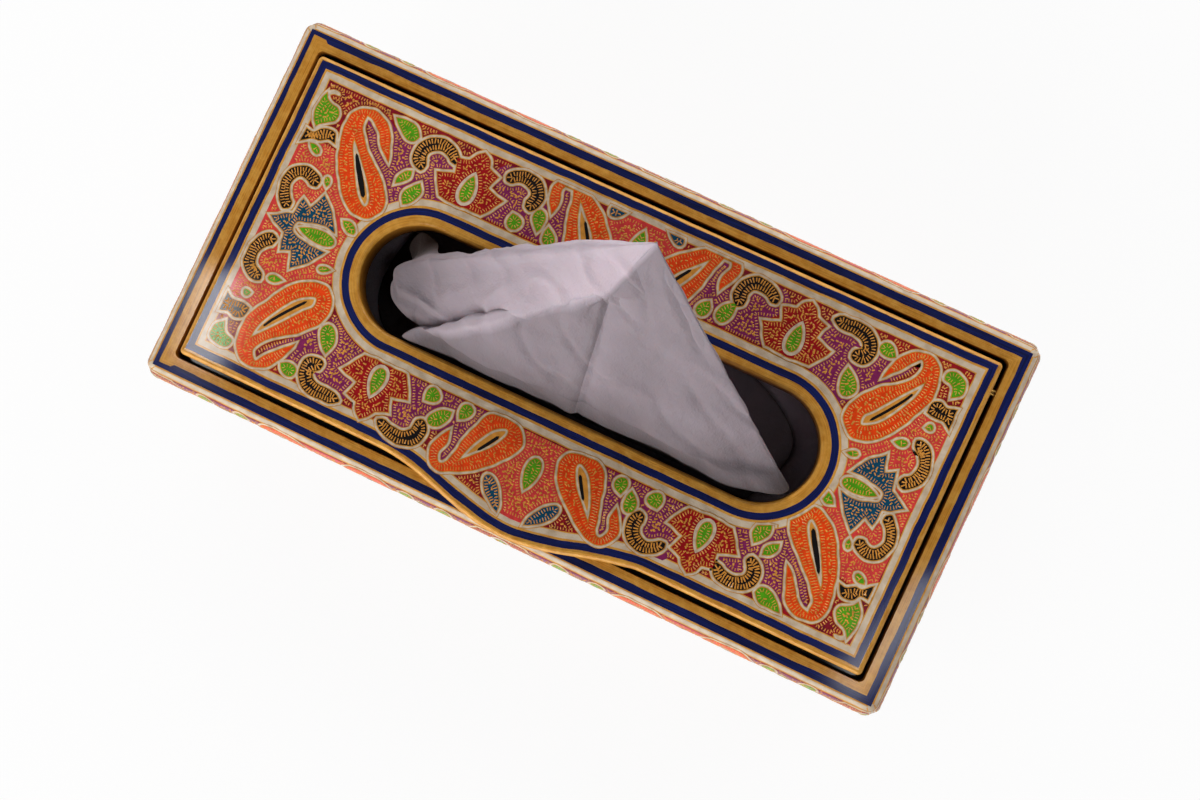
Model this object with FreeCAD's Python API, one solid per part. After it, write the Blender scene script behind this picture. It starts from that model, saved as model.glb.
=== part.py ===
import FreeCAD, Part
import math
import os

# Tissue box of lacquered papier-mache with a hinged lid let into its rim.
# Millimetres. X runs along the box, -Y is the front with the finger lip, +Z is up.
# The origin is the middle of the underside.

V = FreeCAD.Vector

# Box
rim_length = 262.0          # outer edge of the flat rim
rim_width = 125.0
box_height = 88.0           # table to rim
shoulder_out = 4.5          # how far the walls stand out beyond the rim
shoulder_drop = 12.0        # height of the rounded shoulder under the rim
wall_thickness = 7.0
floor_thickness = 6.0
rim_corner = 1.0            # corner of the flat rim, seen from above
foot_round = 1.2            # edge along the table
rim_land = 5.4              # flat top of the rim
cavity_corner = 6.0         # upright corners inside

# Seat of the lid
lid_gap = 2.0               # groove all round the lid
ledge_width = 6.0
ledge_height = 6.0
seat_clearance = 0.1
pocket_corner = 2.0

# Lid
lid_thickness = 10.0
lid_proud = 3.3             # how far the lid stands above the rim
lid_corner = 1.6
edge_round = 1.6            # rounded upper edge of the lid

# Finger lip in the middle of the lid's front edge
lip_reach = 9.4
lip_half_width = 50.0
lip_clearance = 0.4         # air between the lip and the rim under it

# Opening that the tissues are pulled through
slot_length = 163.0
slot_width = 38.2
slot_x = 1.5
slot_y = -0.8
slot_round = 1.2

# Hinge pins between the end walls and the lid
pin_radius = 1.25
pin_running_clearance = 0.05
pin_glue_clearance = 0.02
pin_in_wall = 5.0
pin_in_lid = 12.0
pin_end_clearance = 0.5
pin_chamfer = 0.25
pin_height_in_lid = 3.1     # above the underside of the lid
swing_clearance = 0.3       # between the turning back edge and the rim

# Folded tissues
stack_length = 212.0
stack_width = 102.0
stack_height = 52.0
stack_round = 3.0
stack_top_round = 1.5
sheet_thickness = 1.4       # the pulled sheet, folded double
sheet_clearance = 0.3       # between the sheet and what it leans or rests on
sheet_rise = 92.0           # from the lid's top to the peak
sheet_peak_x = 12.0
sheet_peak_y = 30.0
scoop_opening = 10.0
tightest_mitre = 0.35       # limits how far the outline of the sheet runs out at a sharp bend
# Where the sheet passes three levels: in from the nearer end of the opening, and back from the line
# that the front layer leans on. In turn they are the front layer's left and right ends, the fold, and
# the back layer's right and left ends.
sheet_on_stack = [(30.0, 7.0), (35.0, 6.0), (20.0, 10.5), (35.0, 14.0), (28.0, 24.0)]
sheet_under_lid = [(23.0, 2.0), (29.0, 0.0), (8.0, 10.0), (29.0, 13.5), (14.0, 26.0)]
sheet_over_lid = [(23.0, 2.0), (31.0, 1.0), (7.0, 10.5), (29.0, 16.0), (16.0, 27.0)]
sheet_levels = (0.26, 0.54, 0.79, 0.93)   # shares of the rise at which the sheet narrows

# Sizes that follow from the ones above
body_length = rim_length + 2 * shoulder_out
body_width = rim_width + 2 * shoulder_out
pocket_length = rim_length - 2 * rim_land
pocket_width = rim_width - 2 * rim_land
lid_length = pocket_length - 2 * lid_gap
lid_width = pocket_width - 2 * lid_gap
lid_top = box_height + lid_proud
lid_bottom = lid_top - lid_thickness
ledge_top = lid_bottom - seat_clearance
lip_bottom = box_height + lip_clearance
stack_top = floor_thickness + stack_height

# The pin sits so far in from the lid's back edge that the rounded upper edge swings past the rim.
pin_z = lid_bottom + pin_height_in_lid
round_above_pin = lid_top - pin_z - edge_round
swing_room = lid_gap - swing_clearance
pin_inset = edge_round + (round_above_pin ** 2 - swing_room ** 2) / (2 * swing_room)
pin_y = lid_width / 2 - pin_inset
# The lower back edge turns on this radius, and the ledge ends before it.
back_edge_radius = math.hypot(pin_inset, pin_height_in_lid)
ledge_back_end = pin_y - back_edge_radius - lid_gap / 2


def rounded_block(length, width, low, high, radius, x=0.0, y=0.0):
    """Upright block centred on x, y with rounded upright corners."""
    block = Part.makeBox(length, width, high - low, V(x - length / 2, y - width / 2, low))
    upright = [e for e in block.Edges if abs(e.tangentAt(e.FirstParameter).z) > 0.99]
    return block.makeFillet(radius, upright)


def wall_section(half_rim, across):
    """Upright section of the outside: straight walls, elliptical shoulders, flat rim."""
    half_body = half_rim + shoulder_out
    shoulder_low = box_height - shoulder_drop

    def at(u, z):
        return V(u, 0, z) if across == "x" else V(0, u, z)

    edges = []
    for side in (1, -1):
        oval = Part.Ellipse(at(side * half_rim, box_height), at(side * half_body, shoulder_low),
                            at(side * half_rim, shoulder_low))
        edges.append(Part.ArcOfEllipse(oval, 0, math.pi / 2).toShape())
        edges.append(Part.makeLine(at(side * half_body, 0), at(side * half_body, shoulder_low)))
    edges.append(Part.makeLine(at(-half_rim, box_height), at(half_rim, box_height)))
    edges.append(Part.makeLine(at(-half_body, 0), at(half_body, 0)))
    return Part.Face(Part.Wire(Part.__sortEdges__(edges)))


def corner_post():
    """Turned corner of the outside, on its own axis: rim corner above, wall corner below."""
    half_body = rim_corner + shoulder_out
    shoulder_low = box_height - shoulder_drop
    oval = Part.Ellipse(V(rim_corner, 0, box_height), V(half_body, 0, shoulder_low),
                        V(rim_corner, 0, shoulder_low))
    edges = [
        Part.makeLine(V(0, 0, 0), V(half_body, 0, 0)),
        Part.makeLine(V(half_body, 0, 0), V(half_body, 0, shoulder_low)),
        Part.ArcOfEllipse(oval, 0, math.pi / 2).toShape(),
        Part.makeLine(V(rim_corner, 0, box_height), V(0, 0, box_height)),
        Part.makeLine(V(0, 0, box_height), V(0, 0, 0)),
    ]
    section = Part.Face(Part.Wire(Part.__sortEdges__(edges)))
    return section.revolve(V(0, 0, 0), V(0, 0, 1), 360)


def box_outside():
    """The outside: two crossed blocks with their shoulders, and a turned post at each corner."""
    corner_x = rim_length / 2 - rim_corner
    corner_y = rim_width / 2 - rim_corner
    lengthwise = wall_section(rim_width / 2, "y").extrude(V(2 * corner_x, 0, 0))
    lengthwise.translate(V(-corner_x, 0, 0))
    crosswise = wall_section(rim_length / 2, "x").extrude(V(0, 2 * corner_y, 0))
    crosswise.translate(V(0, -corner_y, 0))
    posts = []
    for sx in (-1, 1):
        for sy in (-1, 1):
            post = corner_post()
            post.translate(V(sx * corner_x, sy * corner_y, 0))
            posts.append(post)
    outside = lengthwise.multiFuse([crosswise] + posts).removeSplitter()
    foot = [e for e in outside.Edges if e.BoundBox.ZMax < 0.01]
    return outside.makeFillet(foot_round, foot)


def pin_rod(side, radius, start, end):
    """Round rod on the hinge line, from start to end along X on the left (-1) or right (1)."""
    return Part.makeCylinder(radius, end - start, V(side * start, pin_y, pin_z), V(side, 0, 0))


def make_box_body():
    body = box_outside()
    cavity_length = body_length - 2 * wall_thickness
    cavity_width = body_width - 2 * wall_thickness
    ledge_low = ledge_top - ledge_height
    body = body.cut(rounded_block(cavity_length, cavity_width, floor_thickness, ledge_low,
                                  cavity_corner))
    # The lid drops into this pocket and rests on the ledge at the front and at both ends.
    body = body.cut(rounded_block(pocket_length, pocket_width, ledge_top, box_height + 1,
                                  pocket_corner))
    mouth_length = pocket_length - 2 * ledge_width
    mouth_low = -pocket_width / 2 + ledge_width
    mouth = Part.makeBox(mouth_length, pocket_width / 2 - mouth_low, ledge_height + 2,
                         V(-mouth_length / 2, mouth_low, ledge_low - 1))
    body = body.cut(mouth)
    # Behind the hinge line the ledge is left out, so that the lid's back edge can swing down.
    swing_bay = Part.makeBox(pocket_length, pocket_width / 2 - ledge_back_end, ledge_height + 2,
                             V(-pocket_length / 2, ledge_back_end, ledge_low - 1))
    body = body.cut(swing_bay)
    for side in (-1, 1):
        hole_start = pocket_length / 2 - 1
        hole_end = pocket_length / 2 + pin_in_wall + pin_glue_clearance
        body = body.cut(pin_rod(side, pin_radius + pin_glue_clearance, hole_start, hole_end))
    return body


def lip_outline():
    """Front edge of the lip: a smooth bell curve that leaves the straight edge without a corner."""
    front = -lid_width / 2
    span_count = 12
    points = []
    for i in range(span_count + 1):
        x = lip_half_width * (2 * i / span_count - 1)
        reach = lip_reach * (0.5 + 0.5 * math.cos(math.pi * x / lip_half_width))
        points.append(V(x, front - reach, 0))
    curve = Part.BSplineCurve()
    curve.interpolate(Points=points, InitialTangent=V(1, 0, 0), FinalTangent=V(1, 0, 0))
    return curve.toShape()


def lid_outline():
    """Plan of the lid's upper layer, lip included, at z = 0."""
    half_x = lid_length / 2
    half_y = lid_width / 2
    diagonal = lid_corner * (1 - math.sqrt(0.5))

    def corner(sx, sy):
        start = V(sx * half_x, sy * (half_y - lid_corner), 0)
        middle = V(sx * (half_x - diagonal), sy * (half_y - diagonal), 0)
        end = V(sx * (half_x - lid_corner), sy * half_y, 0)
        return Part.Arc(start, middle, end).toShape()

    edges = [corner(sx, sy) for sx in (-1, 1) for sy in (-1, 1)]
    edges.append(lip_outline())
    for side in (-1, 1):
        edges.append(Part.makeLine(V(side * (half_x - lid_corner), -half_y, 0),
                                   V(side * lip_half_width, -half_y, 0)))
        edges.append(Part.makeLine(V(side * half_x, -half_y + lid_corner, 0),
                                   V(side * half_x, half_y - lid_corner, 0)))
    edges.append(Part.makeLine(V(-half_x + lid_corner, half_y, 0), V(half_x - lid_corner, half_y, 0)))
    return Part.Wire(Part.__sortEdges__(edges))


def make_lid():
    upper = Part.Face(lid_outline()).extrude(V(0, 0, lid_top - lip_bottom))
    upper.translate(V(0, 0, lip_bottom))
    top_edges = [e for e in upper.Edges if e.BoundBox.ZMin > lid_top - 0.01]
    upper = upper.makeFillet(edge_round, top_edges)
    lower = rounded_block(lid_length, lid_width, lid_bottom, lip_bottom, lid_corner)
    lid = upper.fuse(lower).removeSplitter()
    # The ends of the opening are all but full half circles.
    lid = lid.cut(rounded_block(slot_length, slot_width, lid_bottom - 1, lid_top + 1,
                                slot_width / 2 - 0.01, slot_x, slot_y))
    slot_edges = [e for e in lid.Edges
                  if e.BoundBox.ZMin > lid_top - 0.01
                  and abs(e.CenterOfMass.y - slot_y) < slot_width / 2 + 0.5
                  and e.BoundBox.XLength < slot_length]
    lid = lid.makeFillet(slot_round, slot_edges)
    for side in (-1, 1):
        bore_start = lid_length / 2 - pin_in_lid - pin_end_clearance
        lid = lid.cut(pin_rod(side, pin_radius + pin_running_clearance, bore_start,
                              lid_length / 2 + 1))
    return lid


def make_pin(side):
    """Plain round pin, glued into the end wall, on which the lid's bore turns."""
    pin = pin_rod(side, pin_radius, lid_length / 2 - pin_in_lid, pocket_length / 2 + pin_in_wall)
    ends = [e for e in pin.Edges if e.Curve.TypeId == "Part::GeomCircle"]
    return pin.makeChamfer(pin_chamfer, ends)


def make_tissue_stack():
    stack = rounded_block(stack_length, stack_width, floor_thickness, stack_top, stack_round)
    top_edges = [e for e in stack.Edges if e.BoundBox.ZMin > stack_top - 0.01]
    return stack.makeFillet(stack_top_round, top_edges)


def thick_line(points, z, half):
    """Closed plan outline of a bent line of sheet, half its thickness to each side."""
    left = []
    right = []
    for i, point in enumerate(points):
        back = point - points[i - 1] if i > 0 else points[1] - points[0]
        ahead = points[i + 1] - point if i < len(points) - 1 else back
        back = V(back).normalize()
        ahead = V(ahead).normalize()
        along = V(back + ahead).normalize()
        across = V(-along.y, along.x, 0)
        mitre = half / max(across.dot(V(-ahead.y, ahead.x, 0)), tightest_mitre)
        left.append(V(point.x, point.y, z) + across * mitre)
        right.append(V(point.x, point.y, z) - across * mitre)
    outline = left + right[::-1]
    return Part.makePolygon(outline + [outline[0]])


def sheet_section(z, anchors, half):
    """One level of the pulled sheet: front layer, fold on the right, back layer."""
    front_left, front_right, fold, back_right, back_left = anchors
    front_layer = [front_left + (front_right - front_left) * (i / 3) for i in range(4)]
    back_layer = [back_right + (back_left - back_right) * (i / 3) for i in range(4)]
    return thick_line(front_layer + [fold] + back_layer, z, half)


def sheet_anchors(places):
    """Plan points of the pulled sheet at one level, from its places in the opening."""
    slot_left = slot_x - slot_length / 2
    slot_right = slot_x + slot_length / 2
    slot_front = slot_y - slot_width / 2
    # The front layer leans on the front edge of the opening.
    lean = slot_front + sheet_clearance + sheet_thickness / 2
    points = []
    for (inward, back), on_left in zip(places, (True, False, False, False, True)):
        x = slot_left + inward if on_left else slot_right - inward
        points.append(V(x, lean + back, 0))
    return points


def make_pulled_tissue():
    """Sheet pulled up through the opening: a front layer and a back layer that meet in the fold
    on the right, open like a scoop on the left, both rising to one peak that leans back."""
    half = sheet_thickness / 2
    over_lid = sheet_anchors(sheet_over_lid)
    peak = V(sheet_peak_x, sheet_peak_y, 0)
    sections = [sheet_section(stack_top + sheet_clearance, sheet_anchors(sheet_on_stack), half),
                sheet_section(lid_bottom, sheet_anchors(sheet_under_lid), half),
                sheet_section(lid_top, over_lid, half)]
    for share in sheet_levels:
        anchors = [a + (peak - a) * share for a in over_lid]
        # The front layer's left edge draws in first, which opens the scoop.
        anchors[0].x += scoop_opening * math.sin(math.pi * share)
        thinned = half * math.sqrt(1 - share)
        sections.append(sheet_section(lid_top + sheet_rise * share, anchors, thinned))
    return Part.makeLoft(sections, True, True)


pieces = {
    "box_body": make_box_body(),
    "lid": make_lid(),
    "hinge_pin_left": make_pin(-1),
    "hinge_pin_right": make_pin(1),
    "tissue_stack": make_tissue_stack(),
    "pulled_tissue": make_pulled_tissue(),
}

os.makedirs("parts", exist_ok=True)
for name, shape in pieces.items():
    if not shape.isValid() or shape.Volume <= 0:
        raise ValueError(name + " is not a valid solid")
    shape.exportStep(f"parts/{name}.step")
    box = shape.BoundBox
    print(f"{name}: {len(shape.Solids)} solid, {shape.Volume / 1000:.1f} cm3, "
          f"x {box.XMin:.2f} {box.XMax:.2f}  y {box.YMin:.2f} {box.YMax:.2f}  z {box.ZMin:.2f} {box.ZMax:.2f}")
print(f"hinge line: y {pin_y:.3f}, z {pin_z:.3f}")
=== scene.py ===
import math

import bmesh
import bpy
import numpy as np
from mathutils import Matrix, Vector, noise


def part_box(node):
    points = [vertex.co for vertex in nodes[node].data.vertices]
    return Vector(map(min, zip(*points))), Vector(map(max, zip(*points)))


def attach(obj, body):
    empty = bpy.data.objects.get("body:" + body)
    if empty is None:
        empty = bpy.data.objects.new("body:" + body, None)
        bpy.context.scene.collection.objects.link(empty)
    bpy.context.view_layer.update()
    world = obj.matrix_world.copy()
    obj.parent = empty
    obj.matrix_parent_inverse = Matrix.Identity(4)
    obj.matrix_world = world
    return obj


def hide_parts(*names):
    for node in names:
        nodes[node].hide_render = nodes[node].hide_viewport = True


# Painted tissue box: lacquer, paint and folded tissues over the fixed pieces.
# Sizes are in millimetres, and MM turns them into metres.
MM = 0.001

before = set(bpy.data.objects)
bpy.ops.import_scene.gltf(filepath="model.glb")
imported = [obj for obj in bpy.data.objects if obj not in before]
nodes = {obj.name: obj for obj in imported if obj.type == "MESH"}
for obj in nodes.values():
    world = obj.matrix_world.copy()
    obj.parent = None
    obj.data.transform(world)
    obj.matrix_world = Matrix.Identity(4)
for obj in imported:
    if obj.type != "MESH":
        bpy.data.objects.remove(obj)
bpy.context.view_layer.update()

lid_low, lid_high = (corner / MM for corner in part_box("lid"))
body_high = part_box("box_body")[1] / MM
stack_low, stack_high = (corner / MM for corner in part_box("tissue_stack"))
sheet_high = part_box("pulled_tissue")[1] / MM

# Box and rim
box_height = body_high.z
shoulder_out = 4.5
shoulder_drop = 12.0
rim_land = 5.4
rim_half_length = body_high.x - shoulder_out
rim_half_width = body_high.y - shoulder_out
wall_thickness = 7.0
floor_thickness = stack_low.z

# Lid
lid_top = lid_high.z
lid_half_length = lid_high.x
lid_half_width = lid_high.y
lip_reach = -lid_low.y - lid_high.y
lip_half_width = 50.0
slot_x = 1.5
slot_y = -0.8
slot_half_width = 19.1
slot_half_straight = 81.5 - slot_half_width

# Pulled tissue: the left foot of its front layer, at the lid's top, and that layer's upper edge
sheet_foot = Vector((-57.0, -18.4, 91.0))
upper_edge_rise = 0.962                     # how steeply the edge climbs along X
edge_corner = Vector((4.3, 17.6, 150.0))    # where it turns up to the peak
peak_rise = 3.08                            # how steeply it climbs from there
paper_thickness = 0.35

# Painted bands of the lid, from its edge inward: gold edge by side, navy, gold line, cream, gold line
gold_edge_left = 1.7
gold_edge_right = 1.8
gold_edge_back = 1.3
gold_edge_front = 2.3
navy_band = 2.4
gold_line = 0.7
cream_band = 1.9
fine_line = 0.4
band_total = navy_band + gold_line + cream_band + fine_line

# Painted bands round the opening
slot_gold = 3.3
slot_navy = 2.4
slot_line = 0.8
slot_cream = 2.1
slot_total = slot_gold + slot_navy + slot_line + slot_cream + fine_line

# Painted bands of the rim and the walls
rim_navy = 2.6
rim_navy_left = 1.7
wall_line = 0.5
wall_cream = 1.4
foot_bands = (1.6, 3.9, 4.6, 7.0, 7.4)      # gold, navy, gold line, cream and gold line over the table
corner_cream = 1.5                          # cream band down an upright corner, each side of its middle
corner_gold = 2.1
rim_corner = 1.0                            # corner of the rim, seen from above

def colour(red, green, blue):
    """A paint's colour from its shade on a screen, 0 to 255."""
    def linear(level):
        level = level / 255
        return level / 12.92 if level < 0.04045 else ((level + 0.055) / 1.055) ** 2.4
    return (linear(red), linear(green), linear(blue), 1.0)


def darker(shade, share):
    return tuple(level * share for level in shade[:3]) + (1.0,)


GOLD = colour(214, 151, 56)
GOLD_SHADE = colour(176, 116, 38)
GOLD_BRIGHT = colour(228, 176, 84)
NAVY = colour(8, 28, 98)
NAVY_SHADE = colour(4, 8, 48)
CREAM = colour(212, 194, 170)
CREAM_SHADE = colour(182, 160, 134)
CRIMSON = colour(160, 12, 18)
WINE = colour(92, 6, 30)
PURPLE = colour(132, 34, 88)
CORAL = colour(214, 60, 58)
ORANGE = colour(232, 66, 6)
GREEN = colour(82, 160, 14)
TEAL = colour(4, 70, 98)
BLACK = colour(16, 12, 12)
LEAF_GOLD = colour(220, 148, 58)
SLOT_BROWN = colour(112, 68, 22)
DARK_INSIDE = colour(8, 7, 6)
TISSUE = colour(194, 180, 190)
# Dark end of the painted shade on the pulled sheet.
TISSUE_SHADE = colour(46, 35, 32)
BRASS = colour(190, 150, 80)


class Amount:
    """A number that changes over a surface. Sums on it add the Math nodes."""

    def __init__(self, shading, socket):
        self.shading = shading
        self.socket = socket

    def __add__(self, other):
        return self.shading.math("ADD", self, other)

    __radd__ = __add__

    def __sub__(self, other):
        return self.shading.math("SUBTRACT", self, other)

    def __rsub__(self, other):
        return self.shading.math("SUBTRACT", other, self)

    def __mul__(self, other):
        return self.shading.math("MULTIPLY", self, other)

    __rmul__ = __mul__

    def __truediv__(self, other):
        return self.shading.math("DIVIDE", self, other)

    def __rtruediv__(self, other):
        return self.shading.math("DIVIDE", other, self)

    def __abs__(self):
        return self.shading.math("ABSOLUTE", self)

    def __gt__(self, other):
        return self.shading.math("GREATER_THAN", self, other)

    def __lt__(self, other):
        return self.shading.math("LESS_THAN", self, other)


class Shading:
    """The nodes of one material or of the world."""

    def __init__(self, tree):
        self.tree = tree

    def node(self, kind, settings=None, values=None, result=0):
        """Adds a node: its settings first, then the values or links of its sockets."""
        made = self.tree.nodes.new("ShaderNode" + kind)
        for name, value in (settings or {}).items():
            setattr(made, name, value)
        for key, value in (values or {}).items():
            if isinstance(value, Amount):
                self.tree.links.new(value.socket, made.inputs[key])
            else:
                made.inputs[key].default_value = value
        return Amount(self, made.outputs[result])

    def math(self, operation, *numbers):
        return self.node("Math", {"operation": operation}, dict(enumerate(numbers)))

    def link(self, value, socket):
        self.tree.links.new(value.socket, socket)


class Finish(Shading):
    """A paint or paper finish: one material and the nodes that shade it."""

    def __init__(self, name, **constants):
        self.material = bpy.data.materials.new(name)
        self.material.use_nodes = True
        super().__init__(self.material.node_tree)
        self.shader = self.tree.nodes["Principled BSDF"]
        for socket, value in constants.items():
            self.shader.inputs[socket.replace("_", " ")].default_value = value

    def least(self, *numbers):
        result = numbers[0]
        for number in numbers[1:]:
            result = self.math("MINIMUM", result, number)
        return result

    def length(self, a, b):
        return self.math("SQRT", a * a + b * b)

    def mix(self, share, first, second):
        """Colour between two colours; share 1 gives the second."""
        return self.node("Mix", {"data_type": "RGBA"}, {0: share, 6: first, 7: second}, 2)

    def place(self):
        """X, Y and Z on the piece, in millimetres."""
        spot = self.node("TexCoord", result=3)
        return [self.node("SeparateXYZ", None, {0: spot}, axis) * (1 / MM) for axis in range(3)]

    def vector(self, x, y, z):
        return self.node("CombineXYZ", None, {0: x, 1: y, 2: z})

    def noise(self, x, y, z, detail=2.0, roughness=0.5):
        """Soft random pattern from about 0.3 to 0.7, one swell for each unit of x, y and z."""
        values = {"Vector": self.vector(x, y, z), "Scale": 1.0, "Detail": detail, "Roughness": roughness}
        return self.node("TexNoise", None, values)

    def patches(self, place, scale, detail=2.0, roughness=0.5):
        """The same pattern alike in all directions, scale swells to the millimetre."""
        return self.noise(*(axis * scale for axis in place), detail, roughness)

    def ramp(self, share, low, high):
        """0 below low, 1 above high."""
        return self.node("MapRange", {"clamp": True}, {0: share, 1: low, 2: high})

    def bands(self, distance, edges, colours):
        """Stripes of colour by distance, from the first colour outside to the last."""
        result = colours[0]
        for edge, paint in zip(edges, colours[1:]):
            result = self.mix(distance > edge, result, paint)
        return result

    def feed(self, socket, value):
        self.link(value, self.shader.inputs[socket])

    def bump(self, height, depth):
        """Relief in millimetres."""
        values = {"Height": height, "Strength": 1.0, "Distance": depth * MM}
        self.feed("Normal", self.node("Bump", None, values))


LACQUER = {"Roughness": 0.5, "Specular_IOR_Level": 0.15, "Coat_Weight": 0.4, "Coat_Roughness": 0.08}


def brushed(finish, place, across):
    """Fine strokes of a brush that follows the bands: streaks across, long along."""
    x, y, z = place
    return finish.noise(across * 4.5, x * 0.06, y * 0.06 + z * 0.06, 3.0, 0.6)


def band_paints(finish, place, grain, cloud):
    """Gold, navy, cream and the red ground, each in two shades by the brush's streaks or in clouds."""
    streaks = finish.ramp(grain, 0.35, 0.68)
    leafed = finish.ramp(finish.patches(place, 0.3, 5.0, 0.6), 0.4, 0.66)
    gold = finish.mix(streaks, GOLD_SHADE, GOLD)
    gold = finish.mix(leafed * 0.45, gold, GOLD_BRIGHT)
    navy = finish.mix(streaks, NAVY_SHADE, NAVY)
    cream = finish.mix(cloud, CREAM_SHADE, CREAM)
    ground = finish.mix(cloud, WINE, CRIMSON)
    return gold, navy, cream, ground


def lacquered(finish, place, painted, is_gold, shiny, grain, cloud):
    """The colour under its lacquer, which lies a little unevenly. Gold shines through it."""
    finish.feed("Base Color", painted)
    finish.feed("Metallic", shiny * 0.25)
    finish.feed("Roughness", 0.42 + cloud * 0.16 + (1.0 - is_gold) * 0.06)
    lumps = finish.patches(place, 0.12)
    dents = finish.patches(place, 0.34, 3.0, 0.6)
    finish.bump(grain * 0.16 + lumps * 0.9 + dents * 0.55, 0.5)
    return finish.material


def painted_lid():
    finish = Finish("painted_lid", **LACQUER)
    x, y, z = place = finish.place()
    wobble = (finish.noise(x * 0.09, y * 0.09, z * 0.05) - 0.5) * 0.9
    swing = finish.least(abs(x) / lip_half_width, 1.0) * math.pi
    lip_edge = -lid_half_width - lip_reach * (0.5 + 0.5 * finish.math("COSINE", swing))
    # The slanted sides of the lip are a little nearer than they look along Y.
    lean = 1.0 - 0.04 * finish.math("SINE", swing)
    edge = finish.least(x + (lid_half_length - gold_edge_left), (lid_half_length - gold_edge_right) - x,
                        (lid_half_width - gold_edge_back) - y, (y - lip_edge) * lean - gold_edge_front)
    edge = edge + wobble
    past_end = finish.math("MAXIMUM", abs(x - slot_x) - slot_half_straight, 0.0)
    ring = finish.length(past_end, y - slot_y) - slot_half_width + wobble * 0.6
    outside = [0, navy_band, navy_band + gold_line, navy_band + gold_line + cream_band, band_total]
    inside = [slot_gold, slot_gold + slot_navy, slot_gold + slot_navy + slot_line,
              slot_total - fine_line, slot_total]
    grain = brushed(finish, place, finish.least(edge, ring))
    cloud = finish.ramp(finish.patches(place, 0.25, 3.0), 0.3, 0.7)
    gold, navy, cream, ground = band_paints(finish, place, grain, cloud)
    border = finish.bands(edge, outside, [gold, navy, gold, cream, gold, ground])
    round_slot = finish.bands(ring, inside, [gold, navy, gold, cream, gold, border])
    # The lid's sides are gold, the wall of the opening is brown under its gold edge, and the underside
    # is black.
    below_top = z < lid_top - 1.2
    in_slot = ring < 0.6
    walled = finish.mix(finish.ramp(z, lid_top - 8.0, lid_top - 1.5), SLOT_BROWN, GOLD_SHADE)
    painted = finish.mix((edge < 3.0) * below_top, round_slot, gold)
    painted = finish.mix(in_slot * below_top, painted, walled)
    under = z < lid_top - 9.6
    painted = finish.mix(under, painted, DARK_INSIDE)
    is_gold = finish.math("MAXIMUM", edge < 0.0, ring < slot_gold)
    return lacquered(finish, place, painted, is_gold, is_gold * (1.0 - under), grain, cloud)


def painted_box():
    finish = Finish("painted_box", **LACQUER)
    x, y, z = place = finish.place()
    wobble = (finish.patches(place, 0.09) - 0.5) * 0.9
    edge = finish.least(rim_half_length - abs(x), rim_half_width - abs(y))
    # The rim's navy band is narrower on its left end.
    off_left_end = finish.ramp(x, -rim_half_length + 6, -rim_half_length + 7)
    navy_width = off_left_end * (rim_navy - rim_navy_left) + rim_navy_left
    grain = brushed(finish, place, edge)
    cloud = finish.ramp(finish.patches(place, 0.25, 3.0), 0.3, 0.7)
    gold, navy, cream, ground = band_paints(finish, place, grain, cloud)
    past_navy = edge + wobble > navy_width
    rim = finish.mix(past_navy, navy, gold)
    # Down the walls: gold line and cream under the rim, the painted field, and bands over the table.
    out = 0 - edge + wobble * 0.5
    low = z + wobble
    wall = finish.bands(out, [wall_line, wall_line + wall_cream, wall_line + wall_cream + fine_line],
                        [gold, cream, gold, ground])
    painted = finish.bands(low, foot_bands, [gold, navy, gold, cream, gold, wall])
    # A narrow upright cream band between gold lines runs down each corner.
    past_x = abs(x) - (rim_half_length - rim_corner)
    past_y = abs(y) - (rim_half_width - rim_corner)
    from_corner = abs(past_x - past_y) + wobble * 0.3
    at_corner = (finish.least(past_x, past_y) > 0.0) * (low > foot_bands[4])
    painted = finish.mix(at_corner * (from_corner < corner_gold), painted, gold)
    painted = finish.mix(at_corner * (from_corner < corner_cream), painted, cream)
    on_rim = (z > box_height - 0.05) * (edge > 0.0)
    painted = finish.mix(on_rim, painted, rim)
    # Inside, the seat of the lid is gold for its first millimetres and then black.
    in_seat = (edge > rim_land - 0.05) * (z < box_height - 0.05) * (z > 0.6)
    seat = finish.mix(finish.ramp(z, box_height - 4.0, box_height - 0.5), DARK_INSIDE, GOLD_SHADE)
    painted = finish.mix(in_seat, painted, seat)
    depth = finish.least(body_high.x - abs(x), body_high.y - abs(y))
    in_cavity = (z > floor_thickness - 0.1) * (z < box_height - 12) * (depth > wall_thickness - 0.5)
    painted = finish.mix(in_cavity, painted, DARK_INSIDE)
    underside = z < 0.4
    painted = finish.mix(underside, painted, BLACK)
    is_gold = on_rim * past_navy
    return lacquered(finish, place, painted, is_gold, is_gold, grain, cloud)


def paint(name, shade, light, metal=0.0):
    """A hand-laid paint: two shades in soft patches, under lacquer."""
    finish = Finish(name, Metallic=metal, **LACQUER)
    place = finish.place()
    soft = finish.ramp(finish.patches(place, 0.5, 3.0), 0.32, 0.66)
    finish.feed("Base Color", finish.mix(soft, shade, light))
    finish.bump(finish.patches(place, 1.4), 0.07)
    return finish.material


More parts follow.
